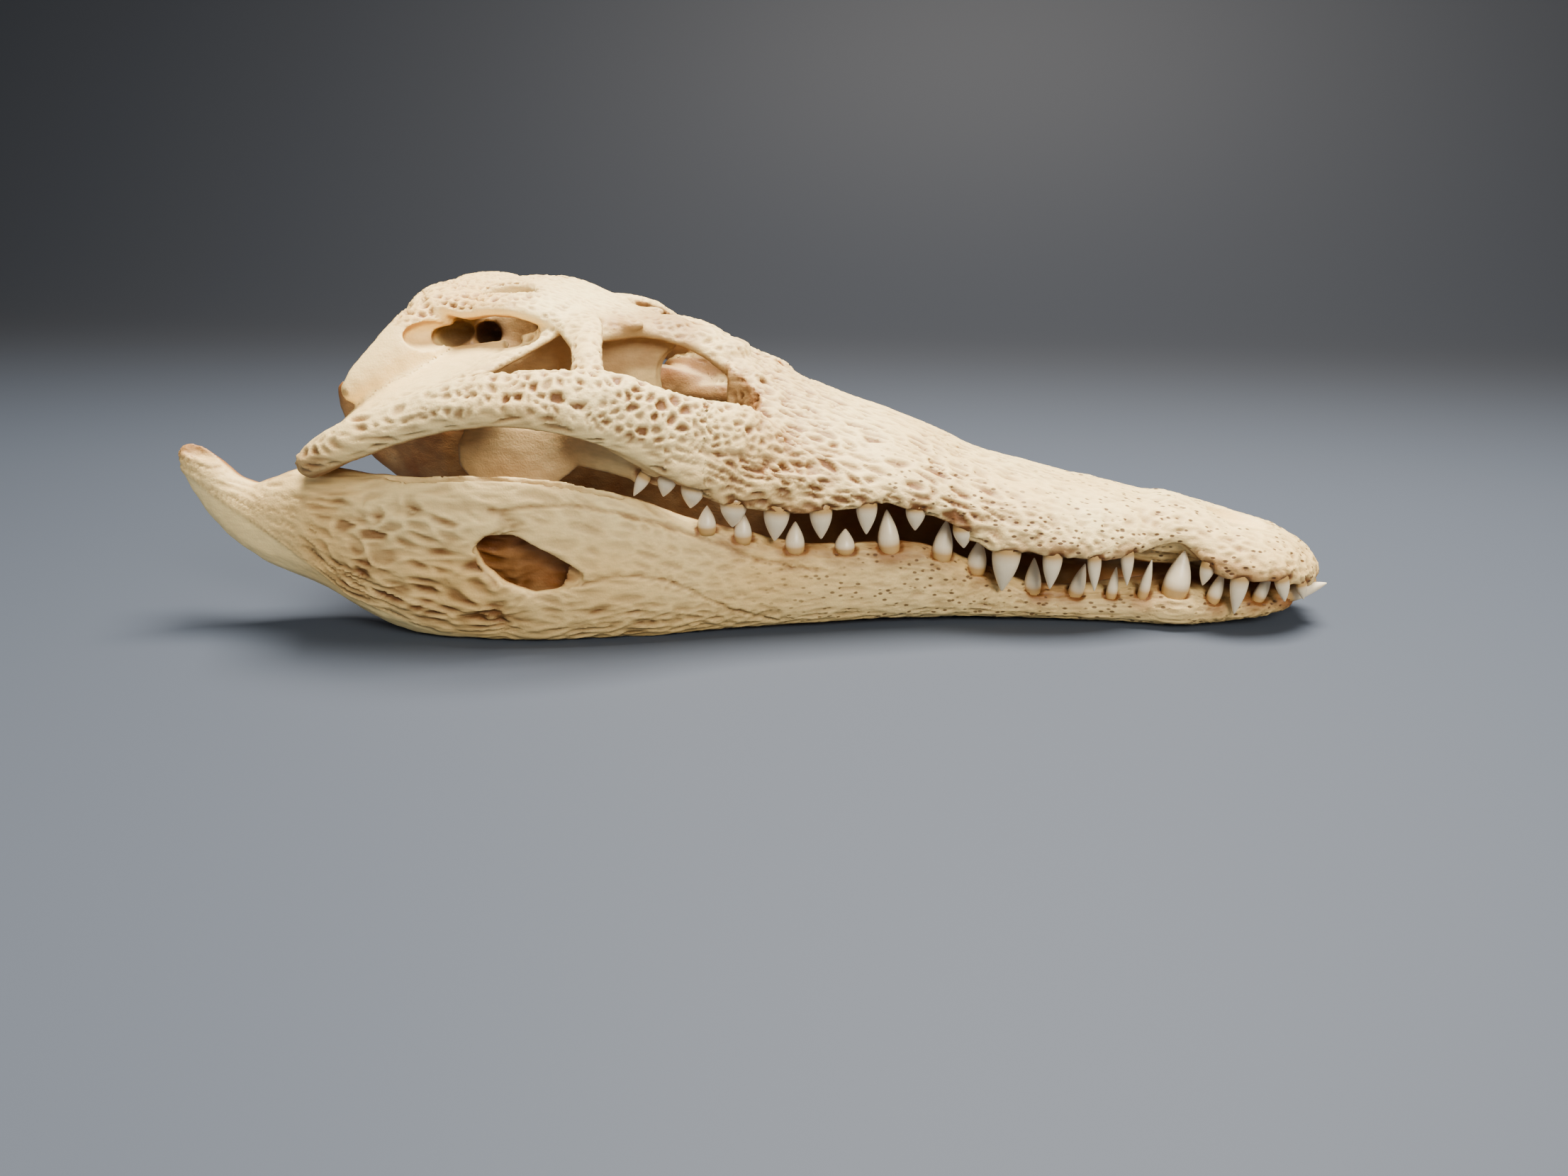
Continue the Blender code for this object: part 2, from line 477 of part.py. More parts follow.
def muscle_pit(side):
    """Cutter for the deep slot between the jaw's outer and inner walls."""
    faces = {name: [(row[0], row[i]) for row in JAW]
             for i, name in ((1, "outer"), (2, "inner"), (3, "low"), (4, "top"))}
    rings = []
    for x in PIT_STATIONS:
        outer, inner = read(faces["outer"], x), read(faces["inner"], x)
        low, top = read(faces["low"], x), read(faces["top"], x)
        near_end = min(1.0, (x - PIT_STATIONS[0]) / 10, (PIT_STATIONS[-1] - x) / 10) * 0.7 + 0.3
        middle = (outer - PIT_OUTER_WALL + inner + PIT_INNER_WALL) / 2
        half = (outer - PIT_OUTER_WALL - inner - PIT_INNER_WALL) / 2 * near_end
        floor = low + PIT_FLOOR + (1 - near_end) * 20
        rings.append([(x, side * (middle - half - 1), floor + 3), (x, side * (middle - 1), floor),
                      (x, side * (middle + half - 2), floor + 3),
                      (x, side * (middle + half), (floor + top) / 2 + 2),
                      (x, side * (middle + half * 0.5 - 1), top + 6),
                      (x, side * (middle - half * 0.5 - 1), top + 6),
                      (x, side * (middle - half), (floor + top) / 2 + 2)])
    return loft("muscle_pit", rings)


def jaw_window(side):
    """Cutter for the window in the jaw's outer wall."""
    rings = [[(x, side * y, z) for x, z in JAW_WINDOW] for y in (57.0, 62.0, 72.0)]
    return loft("jaw_window", rings)


def tooth(name, base, lean, length, radius, down, side):
    """A pointed tooth that starts deep in its socket and bends gently inwards."""
    rings = []
    axis = Vector((lean, 0, -1 if down else 1))
    along = Vector((axis.z, 0, -lean)).normalized()
    for share, width, sink in ((-0.45, 0.9, 0.0), (0.3, 0.95, 0.1),
                               (0.76, 0.55, 0.5), (1.0, 0.12, 1.0)):
        middle = Vector((base[0], base[1] * side - side * sink * radius * 0.35, base[2]))
        middle += axis * length * share
        ring = []
        for k in range(TOOTH_SIDES):
            turn = 2 * math.pi * k / TOOTH_SIDES
            spread = along * math.cos(turn) + Vector((0, math.sin(turn) * 0.85, 0))
            ring.append(middle + spread * radius * width)
        rings.append(ring)
    return loft(name, rings)


def upper_teeth(side, low, high):
    """The upper teeth of one side between two places, just inside the socket edge."""
    teeth = []
    for x, length, radius, lean in [row for row in UPPER_TEETH if low < row[0] < high]:
        y = read(SNOUT_WIDTH, x) - radius - 0.5
        z = read(SOCKET_EDGE, x) - 0.4
        teeth.append(tooth("upper_tooth", (x, max(y, 3.0), z), lean, length, radius, True, side))
    return teeth


def lower_teeth(side):
    """The lower row on one side, on the crest of the jaw and inside the upper row."""
    outer = [(row[0], row[1]) for row in JAW]
    top = [(row[0], row[4]) for row in JAW]
    teeth = []
    for x, length, radius, lean in LOWER_TEETH:
        y = read(outer, x) - radius - 1.6
        teeth.append(tooth("lower_tooth", (x, max(y, 3.4), read(top, x) - 0.8), lean, length, radius,
                           False, side))
    return teeth


def rear_half():
    """Cutter that leaves only what lies behind the snout's joint."""
    return block("rear_keep", (SNOUT_REAR - GAP / 2, -FAR, -FAR), (FAR, FAR, FAR))


def front_half():
    """Cutter that leaves only what lies in front of the snout's joint."""
    return block("front_keep", (-FAR, -FAR, -FAR), (SNOUT_REAR + GAP / 2, FAR, FAR))


def build_cheek(name, side):
    """Jugal, quadratojugal and quadrate of one side, with the foot of the orbit bar."""
    cheek = jugal_form(side)
    parts = [quadrate_form(side), orbit_bar(side), upright_blade("shelf", TOOTH_SHELF, side)]
    combine(cheek, parts + upper_teeth(side, -FAR, SNOUT_REAR), 'UNION')
    above = block("above", (4, -FAR, 88.0), (40, FAR, FAR))
    combine(cheek, [rear_half(), above, ellipsoid("ear", EAR_RECESS, side)], 'DIFFERENCE')
    return finish(cheek, name)


def build_cranium(cheeks):
    """Roof, braincase, back wall and ear wings, cut clear of the cheeks."""
    cranium = roof_form()
    parts = [braincase_form(), occiput_form(), ellipsoid("condyle", ((-53, 0, 75.5), (5.6, 5.6, 5.0)))]
    for side in (-1, 1):
        parts += [orbit_bar(side), prefrontal_pillar(side)]
    combine(cranium, parts, 'UNION')
    cutters = [rear_half(), ellipsoid("foramen", FORAMEN_MAGNUM)]
    for side in (-1, 1):
        low, high = sorted((30 * side, FAR * side))
        cutters.append(block("below", (4, low, 0), (40, high, 88.0 + GAP)))
        cutters.append(ellipsoid("window", UPPER_WINDOW, side))
        cutters.append(ellipsoid("ear", EAR_RECESS, side))
    combine(cranium, cutters, 'DIFFERENCE')
    combine(cranium, [grown(cheek, GAP) for cheek in cheeks], 'DIFFERENCE')
    return finish(cranium, "cranium")


def build_snout():
    """Snout with its upper teeth, cut back to the rim of the orbits."""
    snout = snout_form()
    parts = [roof_form(), palatine_form()]
    for side in (-1, 1):
        parts += [jugal_form(side), upright_blade("shelf", TOOTH_SHELF, side)]
    combine(snout, parts, 'UNION')
    cutters = [front_half(), ellipsoid("nostril", NOSTRIL)]
    for side in (-1, 1):
        cutters.append(ellipsoid("orbit", ORBIT, side))
        cutters.append(ellipsoid("palate_window", PALATE_WINDOW, side))
    combine(snout, cutters, 'DIFFERENCE')
    teeth = upper_teeth(-1, SNOUT_REAR, FAR) + upper_teeth(1, SNOUT_REAR, FAR)
    combine(snout, teeth, 'UNION')
    return finish(snout, "snout")


def build_palate(neighbours):
    """Palatines, pterygoids, their flanges and the struts to the cheeks."""
    palate = palatine_form()
    parts = [pterygoid_form()]
    for side in (-1, 1):
        parts += [flange_form(side), upright_blade("strut", STRUT, side)]
    combine(palate, parts, 'UNION')
    combine(palate, [rear_half(), ellipsoid("choana", CHOANA)], 'DIFFERENCE')
    combine(palate, [grown(other, GAP) for other in neighbours], 'DIFFERENCE')
    return finish(palate, "palate")


def build_jaw(name, side, cheek):
    """One half of the lower jaw with its teeth, hollowed for the jaw muscles."""
    jaw = jaw_form(side)
    combine(jaw, lower_teeth(side), 'UNION')
    low, high = sorted((side * GAP / 2, -side * FAR))
    cutters = [block("other_side", (-FAR, low, -FAR), (FAR, high, FAR)),
               block("floor", (-FAR, -FAR, -FAR), (FAR, FAR, 0.0)),
               muscle_pit(side), jaw_window(side)]
    combine(jaw, cutters, 'DIFFERENCE')
    combine(jaw, [grown(cheek, GAP)], 'DIFFERENCE')
    return finish(jaw, name)


def finish(obj, name):
    """Name a bone, close up its mesh and shade its round faces smooth."""
    keep_largest(obj)
    obj.name = name
    obj.data.name = name
    obj.data.shade_smooth()
    obj.data.set_sharp_from_angle(angle=math.radians(40))
    return obj


def bone_material(name, colour):
    """Dry cleaned bone: pale, matt and not metallic."""
    material = bpy.data.materials.new(name)
    material.use_nodes = True
    shader = material.node_tree.nodes["Principled BSDF"]
    shader.inputs["Base Color"].default_value = (*colour, 1.0)
    shader.inputs["Roughness"].default_value = 0.6
    shader.inputs["Metallic"].default_value = 0.0
    return material


def main():
    clear_scene()
    cheeks = [build_cheek("cheek_right", -1), build_cheek("cheek_left", 1)]
    cranium = build_cranium(cheeks)
    palate = build_palate(cheeks + [cranium])
    jaws = [build_jaw("mandible_right", -1, cheeks[0]), build_jaw("mandible_left", 1, cheeks[1])]
    bones = [build_snout(), cranium, palate] + cheeks + jaws
    shades = {"snout": (0.80, 0.70, 0.52), "cranium": (0.78, 0.67, 0.48), "palate": (0.70, 0.55, 0.36)}
    for bone in bones:
        bone.data.transform(Matrix.Translation((-MIDDLE_X * MM, 0, 0)))
        colour = shades.get(bone.name, (0.76, 0.63, 0.43))
        bone.data.materials.append(bone_material(bone.name + "_bone", colour))


main()
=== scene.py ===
"""Museum looks for the skull and lower jaw of a young Nile crocodile.

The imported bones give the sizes. Each visible bone is grown from its own solid: the upper
bones are joined, made one fine even skin, carved with pits, grooves and openings, and
parted again along their seams. Lengths in the tables and in the carving functions are
millimetres, and the places along the skull are counted from the lowest point of the jaw's
angle. The two numbers in a call of ramp() are the places where a zone starts and is full.
"""

import math

import bmesh
import bpy
import numpy as np
from bpy.props import FloatProperty, FloatVectorProperty, PointerProperty
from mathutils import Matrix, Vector
from mathutils.bvhtree import BVHTree


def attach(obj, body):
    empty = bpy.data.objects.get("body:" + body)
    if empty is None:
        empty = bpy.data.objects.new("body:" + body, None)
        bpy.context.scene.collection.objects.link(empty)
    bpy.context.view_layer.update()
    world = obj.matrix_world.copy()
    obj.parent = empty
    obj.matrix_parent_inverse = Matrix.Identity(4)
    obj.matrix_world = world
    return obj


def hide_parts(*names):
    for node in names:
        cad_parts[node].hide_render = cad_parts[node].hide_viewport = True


bl_info = {
    "name": "Crocodile skull",
    "version": (1, 0, 0),
    "blender": (4, 5, 0),
    "location": "View3D > Sidebar > Skull",
    "description": "Carves and paints the bones and teeth of a crocodile skull",
    "category": "Object",
}

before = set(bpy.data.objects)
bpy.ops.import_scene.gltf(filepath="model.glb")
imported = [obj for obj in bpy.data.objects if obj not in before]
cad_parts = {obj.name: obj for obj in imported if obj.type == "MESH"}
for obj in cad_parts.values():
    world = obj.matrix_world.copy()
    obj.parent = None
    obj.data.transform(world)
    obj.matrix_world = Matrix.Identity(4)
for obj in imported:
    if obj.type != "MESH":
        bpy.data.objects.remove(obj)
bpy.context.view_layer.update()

MM = 0.001
ORIGIN_X = 63.77

UPPER_BONES = ("snout", "cranium", "palate", "cheek_right", "cheek_left")
JAW_BONES = ("mandible_right", "mandible_left")

# Teeth of one side: place along the skull, across it and up, then how far the crown stands
# out, its half width, and its lean to the front for each millimetre that it stands out.
UPPER_TEETH = [(238.8, 5.1, 14.0, 3.2, 1.2, 0.2), (233.2, 13.0, 15.2, 5.2, 1.6, 0.3),
               (225.6, 17.8, 18.3, 7.6, 2.1, 0.3), (212.6, 20.1, 19.1, 12.6, 2.6, 0.0),
               (203.0, 18.2, 21.8, 6.8, 2.2, -0.1), (177.6, 21.6, 25.8, 10.8, 2.1, 0.1),
               (167.2, 25.5, 25.3, 11.2, 2.2, 0.1), (154.4, 27.6, 26.4, 11.6, 3.0, 0.0),
               (140.4, 27.5, 27.5, 14.4, 4.2, -0.05), (126.4, 28.8, 34.3, 6.8, 2.9, 0.1),
               (111.8, 31.0, 40.7, 7.4, 3.0, 0.0), (97.0, 35.1, 42.7, 10.0, 3.3, 0.0),
               (83.4, 39.0, 41.6, 9.8, 3.6, 0.0), (70.4, 41.8, 42.0, 10.6, 4.0, -0.1),
               (57.8, 45.4, 44.7, 8.2, 3.9, -0.1), (46.4, 49.0, 50.2, 7.0, 3.4, -0.2),
               (39.2, 50.6, 53.6, 6.6, 2.9, -0.3), (32.4, 51.5, 53.6, 6.4, 2.0, -0.6)]
LOWER_TEETH = [(231.6, 7.9, 10.3, 3.5, 2.9, 3.2), (221.2, 12.1, 10.1, 8.4, 2.0, 0.35),
               (206.6, 15.2, 10.4, 8.6, 2.1, 0.25), (194.4, 16.1, 13.2, 12.2, 3.9, 0.16),
               (184.6, 17.0, 11.8, 10.6, 1.7, 0.15), (174.8, 16.6, 10.7, 8.6, 1.8, 0.1),
               (163.6, 16.4, 10.4, 9.4, 2.5, 0.25), (149.8, 17.7, 11.6, 9.8, 2.7, 0.0),
               (131.4, 20.7, 19.1, 8.8, 3.0, 0.1), (120.4, 23.5, 24.3, 10.4, 3.0, 0.1),
               (103.8, 27.4, 27.4, 11.0, 3.3, -0.1), (90.2, 31.1, 27.0, 5.8, 3.2, 0.0),
               (75.0, 35.5, 28.3, 7.6, 3.2, 0.0), (59.6, 40.7, 32.7, 7.2, 2.8, 0.0),
               (49.2, 44.4, 36.3, 6.4, 2.7, 0.0)]

# Hollows carved on both sides of the upper skull: middle, then three half lengths. They are
# the ear opening, the pocket behind it, the small pocket in front of it, the ear's funnel,
# the funnel's rear end, the hollow under its lip, the front corner of the orbit, and the gap
# between the braincase and the orbit.
HOLLOWS = [((-27.2, 14.0, 87.8), (4.3, 11.0, 4.3)), ((-35.0, 22.0, 89.0), (5.4, 12.0, 4.0)),
           ((-14.3, 25.0, 87.6), (2.8, 5.0, 2.2)), ((-25.0, 39.0, 91.2), (15.0, 15.0, 5.2)),
           ((-36.0, 37.0, 91.0), (8.0, 8.0, 4.4)), ((-12.0, 33.0, 90.4), (9.0, 8.0, 3.4)),
           ((53.0, 30.0, 75.0), (11.5, 10.5, 10.0)), ((33.0, 3.0, 73.0), (8.0, 7.0, 10.5))]
# Knobs and fillings added on both sides before the skin is made: the tip of the ear's wing,
# two knobs of the jaw joint, four fillings of the cheek's seams, one filling at the front of
# the palate, three swellings along the middle of the brow, and two on its rim.
KNOBS = [((-57.0, 49.5, 76.2), (3.2, 3.0, 4.0)), ((-66.0, 60.0, 56.6), (4.6, 5.0, 4.4)),
         ((-66.5, 48.5, 57.6), (4.8, 4.8, 4.8)), ((49.5, 44.5, 66.0), (6.0, 4.0, 7.5)),
         ((36.0, 46.0, 58.0), (14.0, 3.4, 5.0)), ((56.0, 40.0, 61.0), (7.0, 4.5, 7.0)),
         ((25.0, 52.0, 67.0), (11.0, 3.4, 5.0)), ((192.0, 3.0, 22.0), (16.0, 6.0, 5.0)),
         ((28.0, 1.0, 90.4), (9.0, 7.0, 3.0)), ((38.0, 1.0, 87.0), (9.0, 6.5, 3.2)),
         ((47.0, 1.0, 83.2), (9.0, 8.0, 3.2)), ((19.0, 14.5, 92.1), (6.0, 3.0, 2.1)),
         ((57.5, 14.5, 76.9), (6.0, 3.0, 2.2))]
# Hollows along the upper side of the jaw's rear hook.
JAW_HOLLOWS = [((-104.0, 52.4, 59.0), (10.0, 2.4, 5.5)), ((-92.0, 51.5, 50.5), (6.0, 3.0, 3.0))]
# Painted shade in the ear opening, in the pockets beside it and on a spot at the tip of the ear's wing,
# as a middle, a reach and a strength.
HOLE_SHADE_SPOTS = [((-27.2, 8.0, 87.8), 8.0, 0.9), ((-35.0, 17.0, 89.0), 9.0, 0.5),
              ((-14.3, 24.0, 87.6), 4.6, 0.6), ((-57.6, 51.2, 76.0), 1.6, 0.6)]

# Height of the jaw's lower and upper edge, and of the snout's socket edge, for grain that
# follows the bone.
JAW_LOW = [(-115, 48.1), (-100, 25.5), (-85, 16.6), (-70, 10.2), (-50, 1.2), (-30, 0.0), (60, 0.5),
           (150, 0.8), (210, 0.7), (237, 8.4)]
JAW_TOP = [(-115, 56.3), (-100, 51.8), (-85, 48.8), (-70, 52.8), (-30, 53.8), (0, 54.3), (30, 45.2),
           (60, 33.4), (90, 27.8), (120, 25.2), (150, 12.4), (180, 12.0), (237, 10.4)]
SOCKET_EDGE = [(-70, 54), (-40, 64), (0, 70), (20, 65), (40, 54.0), (60, 44.5), (100, 43.4), (120, 38.8),
               (140, 28.0), (180, 26.8), (200, 24.8), (220, 19.3), (240, 14.4)]
# Height of the cheek bar's lower and upper edge.
CHEEK_LOW = [(-65, 53.6), (-51, 60.0), (-41, 63.6), (-30, 67.2), (-19, 70.0), (-8, 70.8), (3, 70.0),
             (13, 67.8), (22, 64.6), (30, 60.8), (38, 55.8), (46, 51.0), (61, 46.8), (96, 44.0)]
CHEEK_TOP = [(-65, 61.4), (-51, 70.2), (-41, 74.2), (-30, 78.4), (-19, 81.8), (-8, 84.2), (3, 85.2),
             (22, 84.8), (30, 83.2), (38, 79.8), (46, 76.4), (61, 72.6), (76, 66.0), (96, 60.0)]
# Ridge on the jaw between its rugged side and its smooth underside, and the two sutures
# that run forward from the window, as (place, height).
JAW_RIDGE = [(-112, 50.0), (-101.4, 42.5), (-91.8, 36.6), (-81.2, 30.1), (-70.7, 22.5), (-62.4, 15.4),
             (-47, 8.4), (-33.6, 4.3), (-19.9, 2.2), (0, -2.0)]
LOWER_SUTURE = [(13.7, 21.2), (21.9, 23.5), (30.0, 23.3), (38.0, 21.3), (47.0, 16.2), (56.1, 9.9),
                (70.0, 4.0)]
UPPER_SUTURE = [(-11.9, 44.8), (-1.6, 45.6), (10.4, 46.1), (24.5, 43.1), (37.9, 38.2), (52.1, 31.9),
                (64.7, 25.7), (82.0, 21.0)]
# Height of the snout's top.
SNOUT_TOP = [(40, 84.5), (60, 77.6), (80, 70.0), (100, 63.2), (120, 55.5), (140, 48.5), (160, 43.7),
             (180, 39.9), (200, 37.4), (220, 31.5), (240, 18.6)]

# Pits and ridges of each kind: depth and cell width in millimetres, stretch of the cells (a
# small number makes them long), seed, share of a cell that its walls take, and waviness.
PITS = {"wide cells": (1.5, 3.1, (0.85, 1, 1), 11, 0.48, 0.35),
        "small cells": (1.2, 2.3, (0.75, 1, 1), 31, 0.5, 0.35),
        "cheek ridges": (1.1, 2.6, (0.24, 1, 1), 51, 0.55, 0.5),
        "snout ridges": (1.3, 2.6, (0.26, 1, 1), 41, 0.5, 0.5),
        "snout pits": (0.55, 3.2, (0.5, 1, 1), 61, 0.6, 0.5),
        "margin pits": (0.6, 2.4, (0.6, 1, 1), 65, 0.6, 0.5),
        "roof pits": (1.9, 2.7, (1, 1, 1), 71, 0.5, 0.5),
        "brow pits": (0.9, 2.5, (0.7, 1, 1), 81, 0.6, 0.5),
        "jaw grain": (0.6, 2.3, (0.11, 1, 1), 211, 0.5, 0.4),
        "jaw knots": (1.3, 3.0, (0.3, 1, 1), 221, 0.5, 0.6),
        "jaw strands": (1.0, 2.8, (0.1, 1, 1.5), 231, 0.5, 0.3),
        "front grain": (0.45, 3.0, (0.28, 1, 1), 241, 0.5, 0.5)}
# Depth of the groove round a tooth, then depth and half width of a suture.
SOCKET_DEPTH = 0.8
SUTURE_DEPTH = 0.7
SUTURE_WIDTH = 0.9

# How far the copies of the upper bones are swollen, so that their gaps close.
GAP_FILL = 0.2

# Rings of a tooth: height as a share of its crown, and width as a share of its half width.
TOOTH_ROOT = (-0.32, 0.9)
TOOTH_RINGS = ((-0.12, 0.99), (0.0, 1.02), (0.12, 1.02), (0.25, 0.98), (0.38, 0.9), (0.5, 0.79),
               (0.62, 0.65), (0.74, 0.49), (0.84, 0.34), (0.92, 0.21), (0.97, 0.12), (1.0, 0.05))

# Where the paper starts to rise behind the skull, and how wide its bend is, in metres.
BEND_START = 0.55
BEND_RADIUS = 0.35
BEND_STEPS = 16
# Lights: name, place and aim in metres, power in watts, and size in metres.
LIGHTS = [("top", (0.12, 0.05, 0.85), (0.0, 0.0, 0.05), 33.0, 0.4),
          ("front", (0.45, -0.8, 0.62), (0.02, 0.0, 0.05), 11.0, 0.4),
          ("left", (-0.8, -0.45, 0.5), (0.0, 0.0, 0.05), 1.2, 0.6)]
SKY_STRENGTH = 0.23
# Camera: place on the skull's own scale, turn in degrees, lens and sensor in millimetres.
CAMERA_PLACE = (118.09, -378.81, 147.3)
CAMERA_TURN = (69.0, 0.0, 7.7)
CAMERA_LENS = 27.05
CAMERA_SENSOR = 36.0


def along(table, place):
    """Value of a straight-line table at each place."""
    rows = sorted(table)
    return np.interp(place, [row[0] for row in rows], [row[1] for row in rows])


def ramp(value, start, end):
    """Smooth step from 0 at the start to 1 at the end, either way round."""
    share = np.clip((value - start) / (end - start), 0.0, 1.0)
    return share * share * (3.0 - 2.0 * share)


def scatter(cell, salt):
    """A steady number from 0 to 1 for each whole-numbered cell."""
    mixed = cell[:, 0] * 374761393 + cell[:, 1] * 668265263 + cell[:, 2] * 2147483647 + salt * 974634777
    mixed &= 0xFFFFFFFF
    mixed = ((mixed ^ (mixed >> 13)) * 1274126177) & 0xFFFFFFFF
    return (mixed ^ (mixed >> 16)) / 4294967296.0


def swell(points, size, salt=0):
    """Soft noise from -1 to 1, with lumps of about the given size."""
    spots = points / size
    cell = np.floor(spots).astype(np.int64)
    share = spots - cell
    share = share * share * (3.0 - 2.0 * share)
    total = np.zeros(len(points))
    for corner in range(8):
        step = np.array([corner & 1, corner >> 1 & 1, corner >> 2 & 1])
        weight = np.prod(np.where(step == 1, share, 1.0 - share), axis=1)
        total += weight * scatter(cell + step, salt)
    return total * 2.0 - 1.0


def layers(points, size, salt=0, count=3):
    """Noise with finer and finer lumps on top of the coarse ones."""
    total = np.zeros(len(points))
    for level in range(count):
        total += swell(points, size / 2 ** level, salt + level) / 2 ** level
    return total


def nests(points, size, salt=0):
    """Distance to the nearest and the second nearest of scattered spots, in cell widths."""
    spots = points / size
    cell = np.floor(spots).astype(np.int64)
    first = np.full(len(points), 9.0)
    second = np.full(len(points), 9.0)
    luck = np.zeros(len(points))
    for x in (-1, 0, 1):
        for y in (-1, 0, 1):
            for z in (-1, 0, 1):
                there = cell + np.array([x, y, z])
                middle = np.stack([scatter(there, salt + k) for k in range(3)], axis=1) * 0.8 + 0.1
                away = np.linalg.norm(there + middle - spots, axis=1)
                nearer = away < first
                second = np.where(nearer, first, np.minimum(second, away))
                luck = np.where(nearer, scatter(there, salt + 7), luck)
                first = np.minimum(first, away)
    return first, second, luck


def pits(points, size, salt, wall=0.45, warp=0.35):
    """Honeycomb: 1 in the floor of a pit, 0 on the walls between pits."""
    loose = points / size
    bent = loose + warp * np.stack([swell(loose, 1.6, salt + 20 + k) for k in range(3)], axis=1)
    first, second, luck = nests(bent, 1.0, salt)
    return ramp(second - first, 0.04, wall) * (0.55 + 0.45 * luck)


def pitted(kind, places, share):
    """Depth of one kind of pits at each place, where share says how much of it there is."""
    depth, width, stretch, seed, wall, waves = PITS[kind]
    return depth * share * pits(places * stretch, width, seed, wall, waves)


def read_points(obj):
    """Vertices in millimetres on the skull's own scale."""
    flat = np.empty(len(obj.data.vertices) * 3)
    obj.data.vertices.foreach_get("co", flat)
    points = flat.reshape(-1, 3) / MM
    points[:, 0] += ORIGIN_X
    return points


def write_points(obj, points):
    """Put vertices back from millimetres."""
    moved = points.copy()
    moved[:, 0] -= ORIGIN_X
    obj.data.vertices.foreach_set("co", (moved * MM).ravel())
    obj.data.update()


def read_normals(obj):
    """Outward direction at each vertex."""
    flat = np.empty(len(obj.data.vertices) * 3)
    obj.data.vertex_normals.foreach_get("vector", flat)
    return flat.reshape(-1, 3)


def keep_value(obj, name, values):
    """Store a number for each vertex, for the material to read."""
    held = obj.data.attributes.get(name) or obj.data.attributes.new(name, 'FLOAT', 'POINT')
    held.data.foreach_set("value", np.clip(values, 0.0, 1.0).astype(np.float32))


def deselect():
    """Leave nothing selected."""
    for obj in bpy.context.selected_objects:
        obj.select_set(False)


def only(obj):
    """Select one object and make it active."""
    deselect()
    obj.select_set(True)
    bpy.context.view_layer.objects.active = obj
    return obj


def finish_modifier(obj, kind, **settings):
    """Add a modifier with its settings and apply it."""
    only(obj)
    modifier = obj.modifiers.new(kind.title(), kind)
    for name, value in settings.items():
        setattr(modifier, name, value)
    bpy.ops.object.modifier_apply(modifier=modifier.name)
    return obj


def need_faces(obj):
    """Stop if a piece has come out empty."""
    if not obj.data.polygons:
        raise RuntimeError(obj.name + " has no faces")
    return obj


def bone_copy(node, swelling):
    """A closed copy of a bone's solid, swollen by the given millimetres."""
    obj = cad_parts[node].copy()
    obj.data = obj.data.copy()
    obj.name = node + "_copy"
    for key in list(obj.keys()):
        del obj[key]
    obj.parent = None
    bpy.context.scene.collection.objects.link(obj)
    obj.data.materials.clear()
    bm = bmesh.new()
    bm.from_mesh(obj.data)
    bmesh.ops.remove_doubles(bm, verts=bm.verts, dist=1e-6)
    bm.normal_update()
    bm.to_mesh(obj.data)
    bm.free()
    points = read_points(obj) + read_normals(obj) * swelling
    write_points(obj, points)
    return obj


def lump(middle, size):
    """A closed egg at a place in millimetres."""
    deselect()
    place = ((middle[0] - ORIGIN_X) * MM, middle[1] * MM, middle[2] * MM)
    bpy.ops.mesh.primitive_uv_sphere_add(segments=20, ring_count=12, radius=1.0, location=place,
                                         scale=[half * MM for half in size])
    bpy.ops.object.transform_apply(location=True, rotation=True, scale=True)
    return bpy.context.object


def both_sides(shapes):
    """The lumps of a table, on the right and on the left."""
    made = []
    for side in (-1, 1):
        for (x, y, z), size in shapes:
            made.append(lump((x, y * side, z), size))
    return made


def join(objects, name):
    """Join objects into the first one."""
    deselect()
    for obj in objects:
        obj.select_set(True)
    bpy.context.view_layer.objects.active = objects[0]
    bpy.ops.object.join()
    objects[0].name = name
    objects[0].data.name = name
    return objects[0]


def even_skin(obj, voxel, smoothing):
    """One even closed skin round everything in the object, with its creases eased."""
    finish_modifier(obj, 'REMESH', mode='VOXEL', voxel_size=voxel, adaptivity=0.0)
    if smoothing:
        finish_modifier(obj, 'SMOOTH', factor=0.5, iterations=smoothing)
    return need_faces(obj)


def carve(obj, hollows):
    """Take eggs away from a closed mesh, on both sides."""
    for tool in both_sides(hollows):
        finish_modifier(obj, 'BOOLEAN', operation='DIFFERENCE', solver='MANIFOLD', object=tool)
        bpy.data.objects.remove(tool, do_unlink=True)
    return need_faces(obj)


def tooth_lines(table, down, side):
    """Each tooth's base, the way from there to its tip, and its half width."""
    rows = []
    for x, y, z, crown, half, lean in table:
        way = np.array((lean, 0.0, -1.0 if down else 1.0))
        rows.append((np.array((x, y * side, z)), way * crown, half))
    return rows


